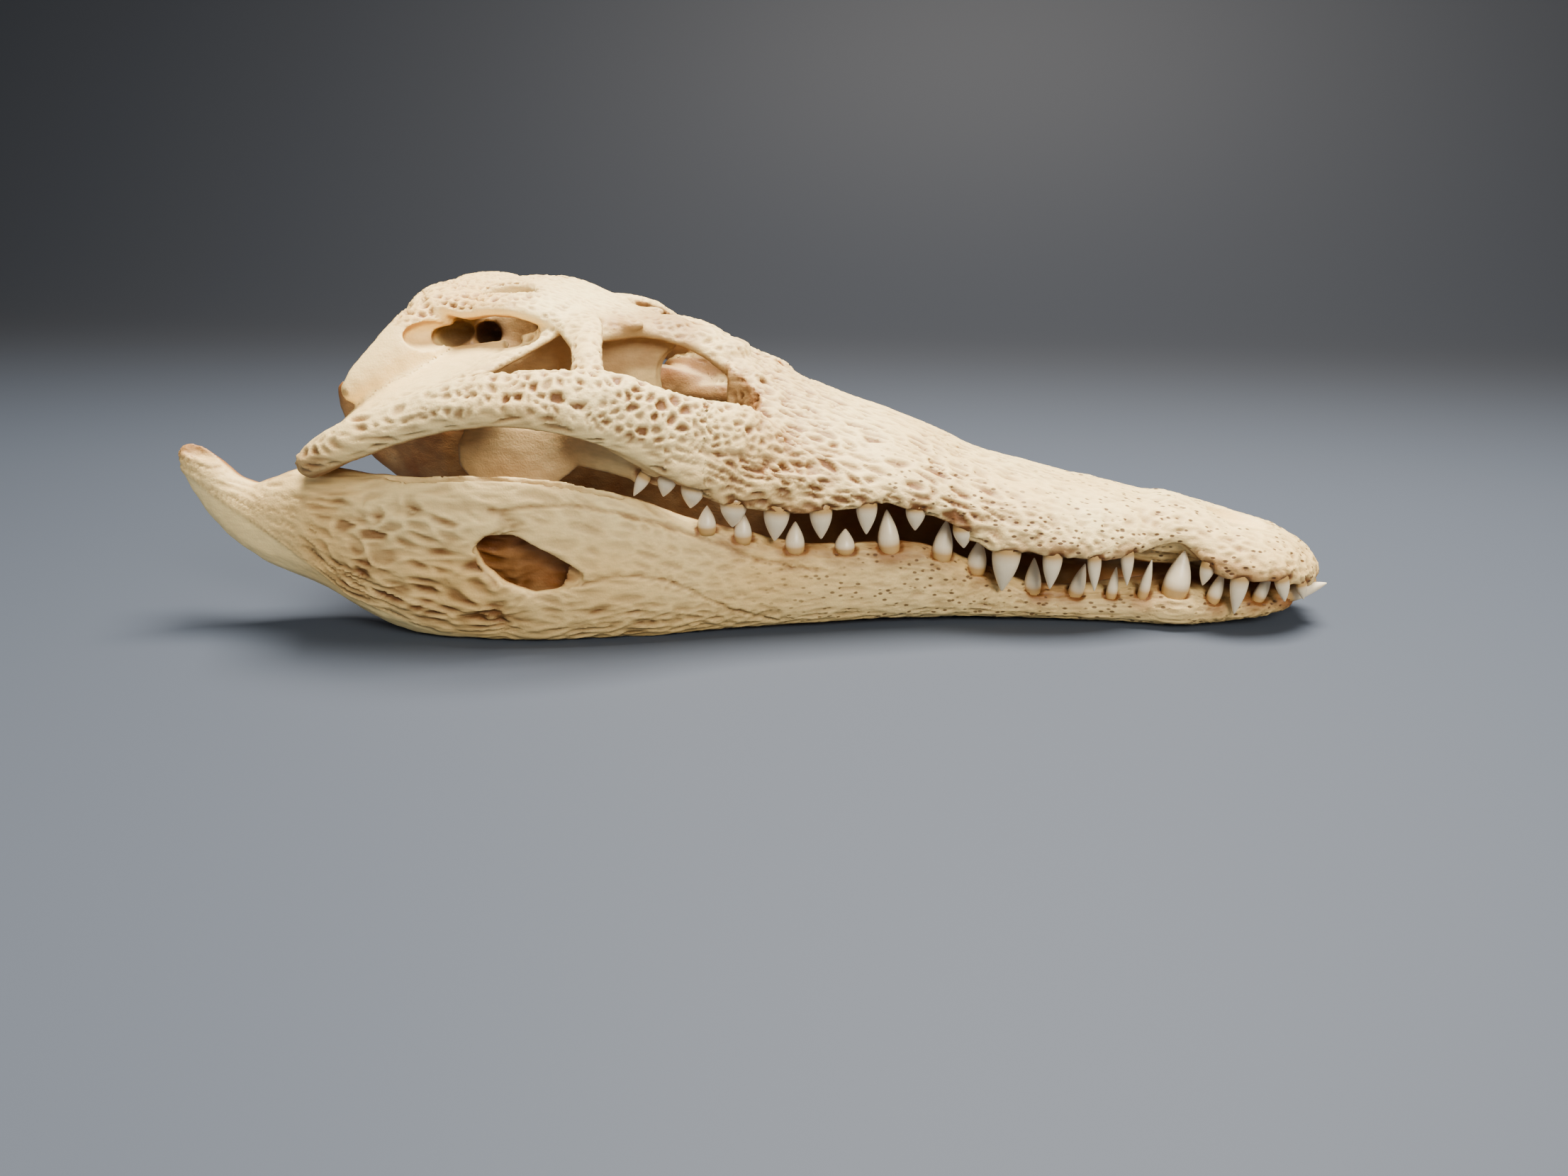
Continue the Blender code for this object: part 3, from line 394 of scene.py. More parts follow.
def fit_sockets(points, table, down):
    """Bring the plain solid's teeth inside the fine ones, and open a socket round each.

    Returns the moved points, how deep each lies in a socket, and how near it is to a root.
    """
    moved = points.copy()
    depth = np.zeros(len(points))
    near_root = np.zeros(len(points))
    for side in (-1, 1):
        for base, reach, half in tooth_lines(table, down, side):
            length = np.linalg.norm(reach)
            rel = moved - base
            close = np.abs(rel).max(axis=1) < length + 9.0
            share = rel[close] @ reach / (reach @ reach)
            rise = share * length
            axis = np.outer(share, reach)
            off = rel[close] - axis
            away = np.linalg.norm(off, axis=1)
            # The plain tooth is drawn in to half its width and just over half its length.
            inside = ramp(away, half * 1.7, half * 1.35) * ramp(rise, 0.2, 1.2)
            inside *= ramp(share, 1.5, 1.25)
            target = np.outer(np.clip(share, None, 0.55), reach) + off * 0.5
            here = base + axis + off
            moved[close] = here * (1 - inside[:, None]) + (base + target) * inside[:, None]
            ring = ramp(away, half + 1.5, half + 0.5) * ramp(np.abs(rise), 2.6, 0.8)
            depth[close] = np.maximum(depth[close], ring)
            root = ramp(away, half + 5.5, half + 1.0) * ramp(rise, 1.0, -1.0) * ramp(rise, -9.0, -3.0)
            near_root[close] = np.maximum(near_root[close], root)
    return moved, depth, near_root


def hole_shade_from(points, spots):
    """How much painted shade each vertex gets from the spots of a table, on both sides."""
    hole_shade = np.zeros(len(points))
    folded = np.abs(points * [0.0, 1.0, 0.0]) + points * [1.0, 0.0, 1.0]
    for middle, reach, strength in spots:
        away = np.linalg.norm(folded - np.array(middle), axis=1)
        hole_shade = np.maximum(hole_shade, strength * ramp(away, reach, reach * 0.7))
    return hole_shade


def bone_of_each(points, nodes):
    """Number of the bone whose solid lies nearest to each vertex, with wavy seams."""
    corners, faces, owner = [], [], []
    for number, node in enumerate(nodes):
        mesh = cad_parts[node].data
        start = len(corners)
        corners += [vert.co.copy() for vert in mesh.vertices]
        for polygon in mesh.polygons:
            faces.append([start + k for k in polygon.vertices])
            owner.append(number)
    tree = BVHTree.FromPolygons(corners, faces)
    wave = np.stack([swell(points, 4.0, 300 + k) for k in range(3)], axis=1)
    places = (points - [ORIGIN_X, 0.0, 0.0] + wave * 0.7) * MM
    return np.array([owner[tree.find_nearest(place)[2]] for place in places.tolist()])


def carve_upper(obj, owner, sizes):
    """Pits, grooves, swellings, stains and painted shade of the upper bones."""
    points = read_points(obj)
    normals = read_normals(obj)
    points, socket, root = fit_sockets(points, UPPER_TEETH, True)
    x, y, z = points.T
    side = np.where(y < 0, -1.0, 1.0)
    outward = normals[:, 1] * side
    low = along(SOCKET_EDGE, x)
    skin = owner != UPPER_BONES.index("palate")
    face = ramp(outward * 0.9 + normals[:, 2] * 0.5, 0.15, 0.5) * skin
    # The grain follows the middle of the snout, and is level behind it.
    snout_rear, roof = SNOUT_TOP[0]
    middle = np.where(x > snout_rear, (low + along(SNOUT_TOP, x)) / 2, -roof)
    flow = np.stack([x, y, z - middle], axis=1)
    strands = flow + 1.6 * np.stack([0 * x, swell(flow, 14.0, 5), swell(flow, 11.0, 6)], axis=1)
    across = (z - along(CHEEK_LOW, x)) / (along(CHEEK_TOP, x) - along(CHEEK_LOW, x))
    edge = 0.12 * swell(points, 6.0, 7)
    lift = 0.35 * layers(points, 16.0, 3)
    dent = np.zeros(len(points))

    # The front wall of an orbit stays smooth.
    orbit_wall = ramp(x, 74, 68) * ramp(x, 24, 34) * ramp(np.abs(y), 43, 39) * ramp(z, 85, 81)
    orbit_wall *= ramp(z, 56, 60) * ramp(normals[:, 0], 0.05, -0.4)

    # Honeycomb of the cheek bar: wide cells where it is deepest, small round ones round them.
    bar = ramp(np.abs(y), 32, 40) * ramp(across, 1.25, 1.02) * face * (1 - orbit_wall)
    combed = bar * ramp(x + 30 * edge, -36, -16) * ramp(x + 40 * edge, 80, 60)
    lowest = 0.3 * ramp(x, 26, 52)
    combed *= ramp(across + edge, 0.16 + lowest, 0.34 + lowest)
    wide = ramp(swell(points, 9.0, 8) + 0.8 * ramp(x, -10, 10) * ramp(x, 50, 34), 0.1, 0.6)
    dent += pitted("wide cells", points, combed * wide)
    dent += pitted("small cells", points, combed * (1 - wide))
    lift += 0.4 * combed

    # Long wavy ridges of the cheek's lower edge and of the snout's side.
    streaked = bar * (1 - combed) * ramp(x, 100, 80)
    dent += pitted("cheek ridges", strands, streaked)
    maxilla = ramp(x, 46, 62) * ramp(x, 175, 110) * face * (1 - combed)
    dent += pitted("snout ridges", strands, maxilla)

    # Fine pits of the snout and its margin, deep ones of the skull's roof and of the brow.
    snout = ramp(x, 96, 130) * face
    dent += pitted("snout pits", strands, snout)
    lift += 0.35 * snout * layers(points, 7.0, 63, 2)
    margin = snout * ramp(z - low, 15, 7)
    dent += pitted("margin pits", strands, margin)
    table = ramp(z, 93, 97) * ramp(normals[:, 2], 0.1, 0.5) * ramp(x, 0, -24) * skin
    dent += pitted("roof pits", points, table)
    brow = ramp(x, -26, -6) * ramp(x, 96, 66) * ramp(normals[:, 2], 0.0, 0.5) * (1 - combed) * skin
    dent += pitted("brow pits", points, brow)

    lift += 0.10 * layers(points, 2.4, 91, 2)
    lift += sizes.socket_swell / MM * root * face
    dent += SOCKET_DEPTH * socket
    points += normals * (lift - dent * sizes.relief)[:, None]
    write_points(obj, points)

    # Painted shade: inner sides and sides facing down, the palate and the braincase are painted brown.
    # The bar inside the orbits and the walls of the nostril get little of it and are nearly as pale as
    # the outside.
    inner = ramp(outward * 0.8 + normals[:, 2] * 0.6, 0.25, -0.35)
    inner = np.maximum(inner, 0.55 * ~skin)
    braincase = ramp(np.abs(y), 24, 18) * ramp(z, 98, 92) * ramp(x, 46, 36)
    inner = np.maximum(inner, 0.7 * braincase)
    inner_bar = ramp(np.abs(y), 18, 13) * ramp(z, 58, 62) * ramp(z, 78, 75)
    inner_bar *= ramp(x, 14, 20) * ramp(x, 60, 50)
    inner *= 1 - 0.85 * inner_bar
    inner *= 1 - 0.9 * ramp(x, 198, 204) * ramp(z, 27, 29)
    # The front wall of an orbit gets this painted shade too.
    inner = np.maximum(inner, 0.7 * orbit_wall)
    # This sum holds painted shade of the inner sides and of the socket grooves, brown patches over the
    # roots, browner places at the rear low down and on the front of the brow, and brown patches along
    # the tooth margin.
    stain_and_shade = 0.85 * inner + 0.9 * socket + 0.5 * root * (0.5 + 0.5 * swell(points, 7.0, 101))
    stain_and_shade += 0.5 * ramp(x, -46, -64) * ramp(z, 70, 58) + 0.25 * brow * ramp(x, 40, 60)
    stain_and_shade += 0.5 * ramp(z - low, 4.5, 1.0) * ramp(x, 40, 60) * ramp(swell(points, 8.0, 103), -0.3, 0.5)
    # Painted shade in pits and grooves by their depth, in the ear's holes, and in the pore dots.
    keep_value(obj, "pit_shade", dent * 0.85)
    keep_value(obj, "stain_and_shade", stain_and_shade)
    keep_value(obj, "hole_shade", hole_shade_from(points, HOLE_SHADE_SPOTS))
    keep_value(obj, "pore_shade", face * ramp(x, 60, 120) * ramp(z - low, 22, 8) + 0.3 * snout)
    keep_value(obj, "warmth", 0.2 + 0.25 * swell(points, 24.0, 111) + 0.3 * table)


def groove(x, z, line, width):
    """1 in the middle of a line drawn on the jaw's side, 0 outside its width."""
    nearest = np.full(len(x), 99.0)
    for (x1, z1), (x2, z2) in zip(line, line[1:]):
        run = (x2 - x1) ** 2 + (z2 - z1) ** 2
        share = np.clip(((x - x1) * (x2 - x1) + (z - z1) * (z2 - z1)) / run, 0.0, 1.0)
        away = np.hypot(x - x1 - share * (x2 - x1), z - z1 - share * (z2 - z1))
        nearest = np.minimum(nearest, away)
    return ramp(nearest, width, width * 0.2)


def carve_jaw(obj, sizes):
    """Grain, rugged angle, ridge, sutures, stains and painted shade of one jaw bone."""
    points = read_points(obj)
    normals = read_normals(obj)
    points, socket, root = fit_sockets(points, LOWER_TEETH, False)
    x, y, z = points.T
    side = np.where(y < 0, -1.0, 1.0)
    outward = normals[:, 1] * side
    low = np.maximum(along(JAW_LOW, x), along(JAW_RIDGE, x))
    top = along(JAW_TOP, x)
    share = (z - low) / np.maximum(top - low, 4.0)
    flow = np.stack([x, y, share * 34.0], axis=1)
    flow += 1.3 * np.stack([0 * x, swell(flow, 15.0, 205), swell(flow, 12.0, 206)], axis=1)
    face = ramp(outward, 0.0, 0.35)
    ridge = along(JAW_RIDGE, x) + 0.8 * swell(points, 9.0, 207)
    above = ramp(z - ridge, -1.2, 0.6)
    sculpted = face * np.where(x < 0, above, 1.0)
    lift = 0.3 * layers(points, 15.0, 203) + 0.55 * face * ramp(x, 0, -24) * (above - 0.5)
    dent = np.zeros(len(points))

    # Long grain everywhere, knots round the rear of the window, strands along the edge.
    dent += pitted("jaw grain", flow, sculpted)
    rugged = ramp(x, -84, -56) * ramp(x, 2, -14) * ramp(share, 0.0, 0.16) * ramp(share, 0.95, 0.75)
    rugged *= sculpted
    dent += pitted("jaw knots", flow, rugged)
    lift += 0.9 * rugged * layers(flow * [0.45, 1, 1], 4.6, 225, 2)
    strands = ramp(x, -84, -60) * ramp(x, 90, 30) * ramp(share, 0.4, 0.2) * sculpted
    dent += pitted("jaw strands", flow, strands)
    front = ramp(x, 80, 120) * face
    dent += pitted("front grain", flow, front)
    wave = 0.5 * swell(points, 3.0, 245)
    for line in (LOWER_SUTURE, UPPER_SUTURE):
        dent += SUTURE_DEPTH * groove(x, z + wave, line, SUTURE_WIDTH) * face

    lift += 0.08 * layers(points, 2.2, 251, 2)
    lift += 0.6 * sizes.socket_swell / MM * root
    dent += SOCKET_DEPTH * socket
    points += normals * (lift - dent * sizes.relief)[:, None]
    points[:, 2] = np.maximum(points[:, 2], 0.0)
    write_points(obj, points)

    # Painted shade: the inner side and the window's floor are painted brown. The hook and the rim have
    # real amber stains.
    inner = ramp(outward, 0.15, -0.3)
    window = ramp(np.abs(y), 58.5, 56.0) * ramp(x, -24, -18) * ramp(x, 22, 16)
    inner = np.maximum(inner, window * ramp(z, 12, 16) * ramp(z, 44, 40))
    # This sum holds painted shade of the inner side, the window's floor and the socket grooves, brown
    # patches over the roots, and real stains on the hook and along the rim.
    stain_and_shade = 0.95 * inner + 0.9 * socket + 0.6 * root * (0.5 + 0.5 * swell(points, 7.0, 261))
    stain_and_shade += 0.8 * ramp(x, -72, -88) * ramp(share, 0.3, 0.9) * ramp(swell(points, 12.0, 263), -0.5, 0.3)
    rim = ramp(x, 24, 44) * ramp(top - z, 6.5, 1.5) * ramp(swell(points, 9.0, 265), -0.35, 0.4)
    stain_and_shade += 0.6 * rim
    # Painted shade in pits, grooves and sutures, by their depth.
    keep_value(obj, "pit_shade", dent * 0.7)
    keep_value(obj, "stain_and_shade", stain_and_shade)
    keep_value(obj, "hole_shade", np.zeros(len(x)))
    # Where pore dots go; their brown is painted shade of small holes.
    keep_value(obj, "pore_shade", 0.9 * face * ramp(x, 40, 100))
    keep_value(obj, "warmth", 0.4 + 0.3 * swell(points, 22.0, 271) - 0.25 * (1 - above) * (x < 0))


def part_bones(whole, owner, nodes):
    """Split a joined skin back into one closed piece for each bone, along their seams."""
    first = np.array([polygon.vertices[0] for polygon in whole.data.polygons])
    nearest = owner[first]
    pieces = []
    for number, node in enumerate(nodes):
        obj = whole.copy()
        obj.data = whole.data.copy()
        bpy.context.scene.collection.objects.link(obj)
        bm = bmesh.new()
        bm.from_mesh(obj.data)
        bm.faces.ensure_lookup_table()
        spare = [bm.faces[k] for k in np.flatnonzero(nearest != number)]
        bmesh.ops.delete(bm, geom=spare, context='FACES')
        drop_crumbs(bm)
        rim = [edge for edge in bm.edges if edge.is_boundary]
        for edge in rim:
            edge.smooth = False
        lids = bmesh.ops.holes_fill(bm, edges=rim, sides=0)["faces"]
        bmesh.ops.triangulate(bm, faces=lids)
        bmesh.ops.recalc_face_normals(bm, faces=bm.faces)
        bm.to_mesh(obj.data)
        bm.free()
        pieces.append(settle(need_faces(obj), node + "_bone", node))
    bpy.data.objects.remove(whole, do_unlink=True)
    return pieces


def drop_crumbs(bm):
    """Delete loose islands, so that a bone is one surface."""
    left = set(bm.faces)
    islands = []
    while left:
        front = [left.pop()]
        island = list(front)
        while front:
            for edge in front.pop().edges:
                for other in edge.link_faces:
                    if other in left:
                        left.remove(other)
                        island.append(other)
                        front.append(other)
        islands.append(island)
    islands.sort(key=len)
    bmesh.ops.delete(bm, geom=[face for island in islands[:-1] for face in island], context='FACES')


def settle(obj, name, *nodes):
    """Name a piece, let it stand for its solid, and let it ride on the body."""
    obj.name = name
    obj.data.name = name
    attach(obj, "root")
    if nodes:
        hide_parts(*nodes)
    return obj


def paint(obj, material):
    """Give a piece one material and smooth shading."""
    obj.data.materials.clear()
    obj.data.materials.append(material)
    obj.data.polygons.foreach_set("material_index", [0] * len(obj.data.polygons))
    obj.data.shade_smooth()


def hex_colour(text):
    """Linear colour from an sRGB hex value."""
    parts = [int(text[k:k + 2], 16) / 255 for k in (1, 3, 5)]
    return [part / 12.92 if part <= 0.04045 else ((part + 0.055) / 1.055) ** 2.4 for part in parts]


def put(tree, kind, settings=None, links=None):
    """Add a node, set its sockets and properties, and link its inputs."""
    node = tree.nodes.new(kind)
    for name, value in (settings or {}).items():
        if isinstance(name, int) or name in node.inputs:
            node.inputs[name].default_value = value
        else:
            setattr(node, name, value)
    for name, source in (links or {}).items():
        tree.links.new(source, node.inputs[name])
    return node


def bone_material(name, colours):
    """Dry, cleaned cortical bone: pale cream, matt with a faint waxy sheen, with painted brown shade in
    its pits, pore holes, deep holes and inner sides, and real amber stains.
    """
    # Bone's index of refraction is about 1.54, and light goes one or two millimetres into it.
    material = bpy.data.materials.new(name)
    material.use_nodes = True
    tree = material.node_tree
    tree.nodes.clear()
    place = put(tree, "ShaderNodeTexCoord").outputs["Object"]
    held = {key: put(tree, "ShaderNodeAttribute", {"attribute_name": key}).outputs["Fac"]
            for key in ("pit_shade", "stain_and_shade", "hole_shade", "pore_shade", "warmth")}

    # Clouds 12 mm wide, grain 1 mm wide and 6 mm long, and specks of 0.6 mm.
    cloud = put(tree, "ShaderNodeTexNoise", {"Scale": 1 / 0.012, "Detail": 4.0}, {"Vector": place})
    stretch = put(tree, "ShaderNodeMapping", {"Scale": (0.17, 1.0, 1.0)}, {"Vector": place})
    grain = put(tree, "ShaderNodeTexNoise", {"Scale": 1 / 0.001, "Detail": 3.0},
                {"Vector": stretch.outputs[0]})
    speck = put(tree, "ShaderNodeTexNoise", {"Scale": 1 / 0.0006, "Detail": 2.0}, {"Vector": place})
    # Pores about 0.8 mm high and 1.5 mm long, 2 mm apart up and across and 3.5 mm along.
    spread = put(tree, "ShaderNodeMapping", {"Scale": (0.55, 1.0, 1.0)}, {"Vector": place})
    pore = put(tree, "ShaderNodeTexVoronoi", {"Scale": 1 / 0.0019}, {"Vector": spread.outputs[0]})
    hole = put(tree, "ShaderNodeMapRange", {"From Min": 0.16, "From Max": 0.28, "To Min": 1.0,
                                            "To Max": 0.0}, {"Value": pore.outputs["Distance"]})
    hole = put(tree, "ShaderNodeMath", {"operation": 'MULTIPLY'},
               {0: hole.outputs[0], 1: held["pore_shade"]})

    def blend(share, first, second, strength=1.0):
        """Mix two colours by a share of which the strength tells how much counts."""
        amount = put(tree, "ShaderNodeMath", {"operation": 'MULTIPLY', 1: strength, "use_clamp": True},
                     {0: share})
        mix = put(tree, "ShaderNodeMix", {"data_type": 'RGBA'}, {0: amount.outputs[0]})
        for socket, colour in ((6, first), (7, second)):
            if isinstance(colour, bpy.types.NodeSocket):
                tree.links.new(colour, mix.inputs[socket])
            else:
                mix.inputs[socket].default_value = (*colour, 1.0)
        return mix.outputs[2]

    base = blend(held["warmth"], colours.pale, colours.warm)
    base = blend(cloud.outputs[0], base, colours.cloud, 0.4)
    # Amber from the mask of painted shade on inner sides and in socket grooves and of real stains, once
    # in clouds and once evenly.
    patch = put(tree, "ShaderNodeMath", {"operation": 'MULTIPLY'},
                {0: held["stain_and_shade"], 1: cloud.outputs[0]})
    patch = put(tree, "ShaderNodeMath", {"operation": 'ADD', 1: -0.12}, {0: patch.outputs[0]})
    base = blend(patch.outputs[0], base, colours.amber, 1.5)
    base = blend(held["stain_and_shade"], base, colours.amber, 0.7)
    # Painted shade in the floor of pits and grooves.
    base = blend(held["pit_shade"], base, colours.pit, 0.95)
    # Painted shade of the pore holes.
    base = blend(hole.outputs[0], base, colours.pore, 0.9)
    # Painted shade in the ear's deep holes.
    base = blend(held["hole_shade"], base, colours.hole, 0.95)
    tint = put(tree, "ShaderNodeMapRange", {"From Min": 0.3, "From Max": 0.7, "To Min": 0.9,
                                            "To Max": 1.06}, {"Value": grain.outputs[0]})
    shade = put(tree, "ShaderNodeVectorMath", {"operation": 'SCALE'}, {0: base, 3: tint.outputs[0]})

    height = put(tree, "ShaderNodeMath", {"operation": 'MULTIPLY_ADD', 1: 0.5}, {0: grain.outputs[0],
                 2: speck.outputs[0]})
    height = put(tree, "ShaderNodeMath", {"operation": 'MULTIPLY_ADD', 1: -2.0},
                 {0: hole.outputs[0], 2: height.outputs[0]})
    bump = put(tree, "ShaderNodeBump", {"Strength": 0.45, "Distance": 0.0003},
               {"Height": height.outputs[0]})
    rough = put(tree, "ShaderNodeMapRange", {"To Min": 0.48, "To Max": 0.68},
                {"Value": speck.outputs[0]})
    shader = put(tree, "ShaderNodeBsdfPrincipled",
                 {"IOR": 1.54, "Metallic": 0.0, "Specular IOR Level": 0.35, "Subsurface Weight": 0.12,
                  "Subsurface Radius": (1.0, 0.65, 0.4), "Subsurface Scale": 0.0015},
                 {"Base Color": shade.outputs[0], "Roughness": rough.outputs[0],
                  "Normal": bump.outputs[0]})
    put(tree, "ShaderNodeOutputMaterial", None, {"Surface": shader.outputs[0]})
    return material


def enamel_material(name, colours):
    """Tooth enamel over dentine: greyish white, smoother than bone, yellow at the neck."""
    # Enamel's index of refraction is about 1.62, and it lets a little light through.
    material = bpy.data.materials.new(name)
    material.use_nodes = True
    tree = material.node_tree
    tree.nodes.clear()
    place = put(tree, "ShaderNodeTexCoord").outputs["Object"]
    neck = put(tree, "ShaderNodeAttribute", {"attribute_name": "neck"}).outputs["Fac"]
    stripe = put(tree, "ShaderNodeMapping", {"Scale": (1.0, 1.0, 0.12)}, {"Vector": place})
    # Fine upright striae about 0.5 mm apart.
    striae = put(tree, "ShaderNodeTexNoise", {"Scale": 1 / 0.0005, "Detail": 2.0},
                 {"Vector": stripe.outputs[0]})
    cloud = put(tree, "ShaderNodeTexNoise", {"Scale": 1 / 0.003, "Detail": 3.0}, {"Vector": place})
    tone = put(tree, "ShaderNodeMix", {"data_type": 'RGBA', 6: (*colours.enamel, 1.0),
                                       7: (*colours.dentine, 1.0)}, {0: neck})
    tint = put(tree, "ShaderNodeMapRange", {"To Min": 0.86, "To Max": 1.08},
               {"Value": cloud.outputs[0]})
    shade = put(tree, "ShaderNodeVectorMath", {"operation": 'SCALE'},
                {0: tone.outputs[2], 3: tint.outputs[0]})
    bump = put(tree, "ShaderNodeBump", {"Strength": 0.25, "Distance": 0.0002},
               {"Height": striae.outputs[0]})
    shader = put(tree, "ShaderNodeBsdfPrincipled",
                 {"IOR": 1.62, "Roughness": 0.36, "Metallic": 0.0, "Subsurface Weight": 0.15,
                  "Subsurface Radius": (1.0, 0.8, 0.6), "Subsurface Scale": 0.001},
                 {"Base Color": shade.outputs[0], "Normal": bump.outputs[0]})
    put(tree, "ShaderNodeOutputMaterial", None, {"Surface": shader.outputs[0]})
    return material


def plain_tooth():
    """One tooth of unit length and half width, grown ring by ring from its root."""
    deselect()
    height, size = TOOTH_ROOT
    bpy.ops.mesh.primitive_circle_add(vertices=20, radius=size, fill_type='NGON',
                                      location=(0.0, 0.0, height))
    obj = bpy.context.object
    bpy.ops.object.mode_set(mode='EDIT')
    bpy.ops.mesh.select_all(action='SELECT')
    for rise, wide in TOOTH_RINGS:
        bpy.ops.mesh.extrude_region_move(TRANSFORM_OT_translate={"value": (0.0, 0.0, rise - height)})
        bpy.ops.transform.resize(value=(wide / size, wide / size, 1.0))
        height, size = rise, wide
    bpy.ops.object.mode_set(mode='OBJECT')
    bpy.ops.object.transform_apply(location=True, rotation=True, scale=True)
    bm = bmesh.new()
    bm.from_mesh(obj.data)
    bmesh.ops.recalc_face_normals(bm, faces=bm.faces)
    bm.to_mesh(obj.data)
    bm.free()
    return obj


def tooth_row(name, table, down):
    """All teeth of the upper or the lower jaw, each a copy of the plain tooth."""
    model = plain_tooth()
    unit = np.empty(len(model.data.vertices) * 3)
    model.data.vertices.foreach_get("co", unit)
    unit = unit.reshape(-1, 3)
    teeth = []
    for side in (-1, 1):
        for number, (base, reach, half) in enumerate(tooth_lines(table, down, side)):
            obj = model.copy()
            obj.data = model.data.copy()
            bpy.context.scene.collection.objects.link(obj)
            across = np.array([0.0, 1.0, 0.0])
            ahead = np.cross(across, reach)
            ahead /= np.linalg.norm(ahead)
            rise = unit[:, 2]
            # Each tooth is a little wider or narrower than its row says, and its tip leans in.
            width = half * (1.0 + 0.05 * math.sin(7.3 * number + side))
            points = (base + np.outer(rise, reach) + np.outer(unit[:, 0] * width, ahead)
                      + np.outer(unit[:, 1] * 0.9 * width, across))
            points[:, 1] -= side * np.clip(rise, 0.0, 1.0) ** 1.6 * half * 0.45
            write_points(obj, points)
            keep_value(obj, "neck", ramp(rise, 0.22, -0.02))
            teeth.append(obj)
    bpy.data.objects.remove(model, do_unlink=True)
    row = join(teeth, name)
    bm = bmesh.new()
    bm.from_mesh(row.data)
    bmesh.ops.recalc_face_normals(bm, faces=bm.faces)
    bm.to_mesh(row.data)
    bm.free()
    row.data.shade_smooth()
    return settle(row, name)


def paper_sweep(width):
    """A floor that curves up into a backdrop behind the skull."""
    deselect()
    bpy.ops.mesh.primitive_plane_add(size=1.0, location=(0.0, 0.0, 0.0))
    floor = bpy.context.object
    floor.name = "floor"
    floor.scale = (width, width * 0.5 + BEND_START, 1.0)
    floor.location = (0.0, (BEND_START - width * 0.5) / 2, 0.0)
    bpy.ops.object.transform_apply(location=True, rotation=False, scale=True)
    bpy.ops.object.mode_set(mode='EDIT')
    bm = bmesh.from_edit_mesh(floor.data)
    bm.select_mode = {'EDGE'}
    for face in bm.faces:
        face.select_set(False)
    for edge in bm.edges:
        edge.select_set(all(vert.co.y > 0.0 for vert in edge.verts))
    bm.select_flush_mode()
    bmesh.update_edit_mesh(floor.data)
    for step in range(BEND_STEPS):
        turns = [math.pi / 2 * (step + k) / BEND_STEPS for k in (0, 1)]
        move = (0.0, BEND_RADIUS * (math.sin(turns[1]) - math.sin(turns[0])),
                BEND_RADIUS * (math.cos(turns[0]) - math.cos(turns[1])))
        bpy.ops.mesh.extrude_region_move(TRANSFORM_OT_translate={"value": move})
    bpy.ops.mesh.extrude_region_move(TRANSFORM_OT_translate={"value": (0.0, 0.0, width * 0.4)})
    bpy.ops.object.mode_set(mode='OBJECT')
    floor.data.shade_smooth()
    return floor


def paper_material(name, colours):
    """Matt paper, pale under the skull, with painted shade that makes it darker with distance behind it.
    """
    material = bpy.data.materials.new(name)
    material.use_nodes = True
    tree = material.node_tree
    tree.nodes.clear()
    place = put(tree, "ShaderNodeTexCoord").outputs["Object"]
    axes = put(tree, "ShaderNodeSeparateXYZ", None, {0: place})
    away = put(tree, "ShaderNodeMath", {"operation": 'ADD'}, {0: axes.outputs[1], 1: axes.outputs[2]})
    # Painted shade: the colour darkens with distance, standing in for the light falling off.
    share = put(tree, "ShaderNodeMapRange", {"From Min": 0.1, "From Max": 0.52,
                                             "interpolation_type": 'SMOOTHSTEP'},
                {"Value": away.outputs[0]})
    tone = put(tree, "ShaderNodeMix", {"data_type": 'RGBA', 6: (*colours.floor, 1.0),
                                       7: (*colours.backdrop, 1.0)}, {0: share.outputs[0]})
    shader = put(tree, "ShaderNodeBsdfPrincipled", {"Roughness": 0.7, "Metallic": 0.0},
                 {"Base Color": tone.outputs[2]})
    put(tree, "ShaderNodeOutputMaterial", None, {"Surface": shader.outputs[0]})
    return material


def colour_choice(name, description, text):
    """A colour that a user may change, with its default as an sRGB hex value."""
    return FloatVectorProperty(name=name, description=description, subtype='COLOR', size=3, min=0.0,
                               max=1.0, default=hex_colour(text))


class SkullSizes(bpy.types.PropertyGroup):
    """Sizes that a user may change."""

    skin: FloatProperty(name="Skin spacing", description="Width of the faces of an upper bone's skin",
                        default=0.00078, min=0.0004, max=0.003, unit='LENGTH', precision=5)
    jaw_skin: FloatProperty(name="Jaw skin spacing", description="Width of the faces of a jaw's skin",
                            default=0.00072, min=0.0004, max=0.003, unit='LENGTH', precision=5)
    socket_swell: FloatProperty(name="Socket swelling", default=0.0006, unit='LENGTH', precision=5,
                                description="How far the bone stands out over a tooth's root")
    relief: FloatProperty(name="Relief", default=1.0, min=0.0, max=2.0, subtype='FACTOR',
                          description="Depth of all pits and grooves, as a share of their tables")
    floor_width: FloatProperty(name="Floor width", description="Width of the floor of the stage",
                               default=6.0, min=1.0, unit='LENGTH')


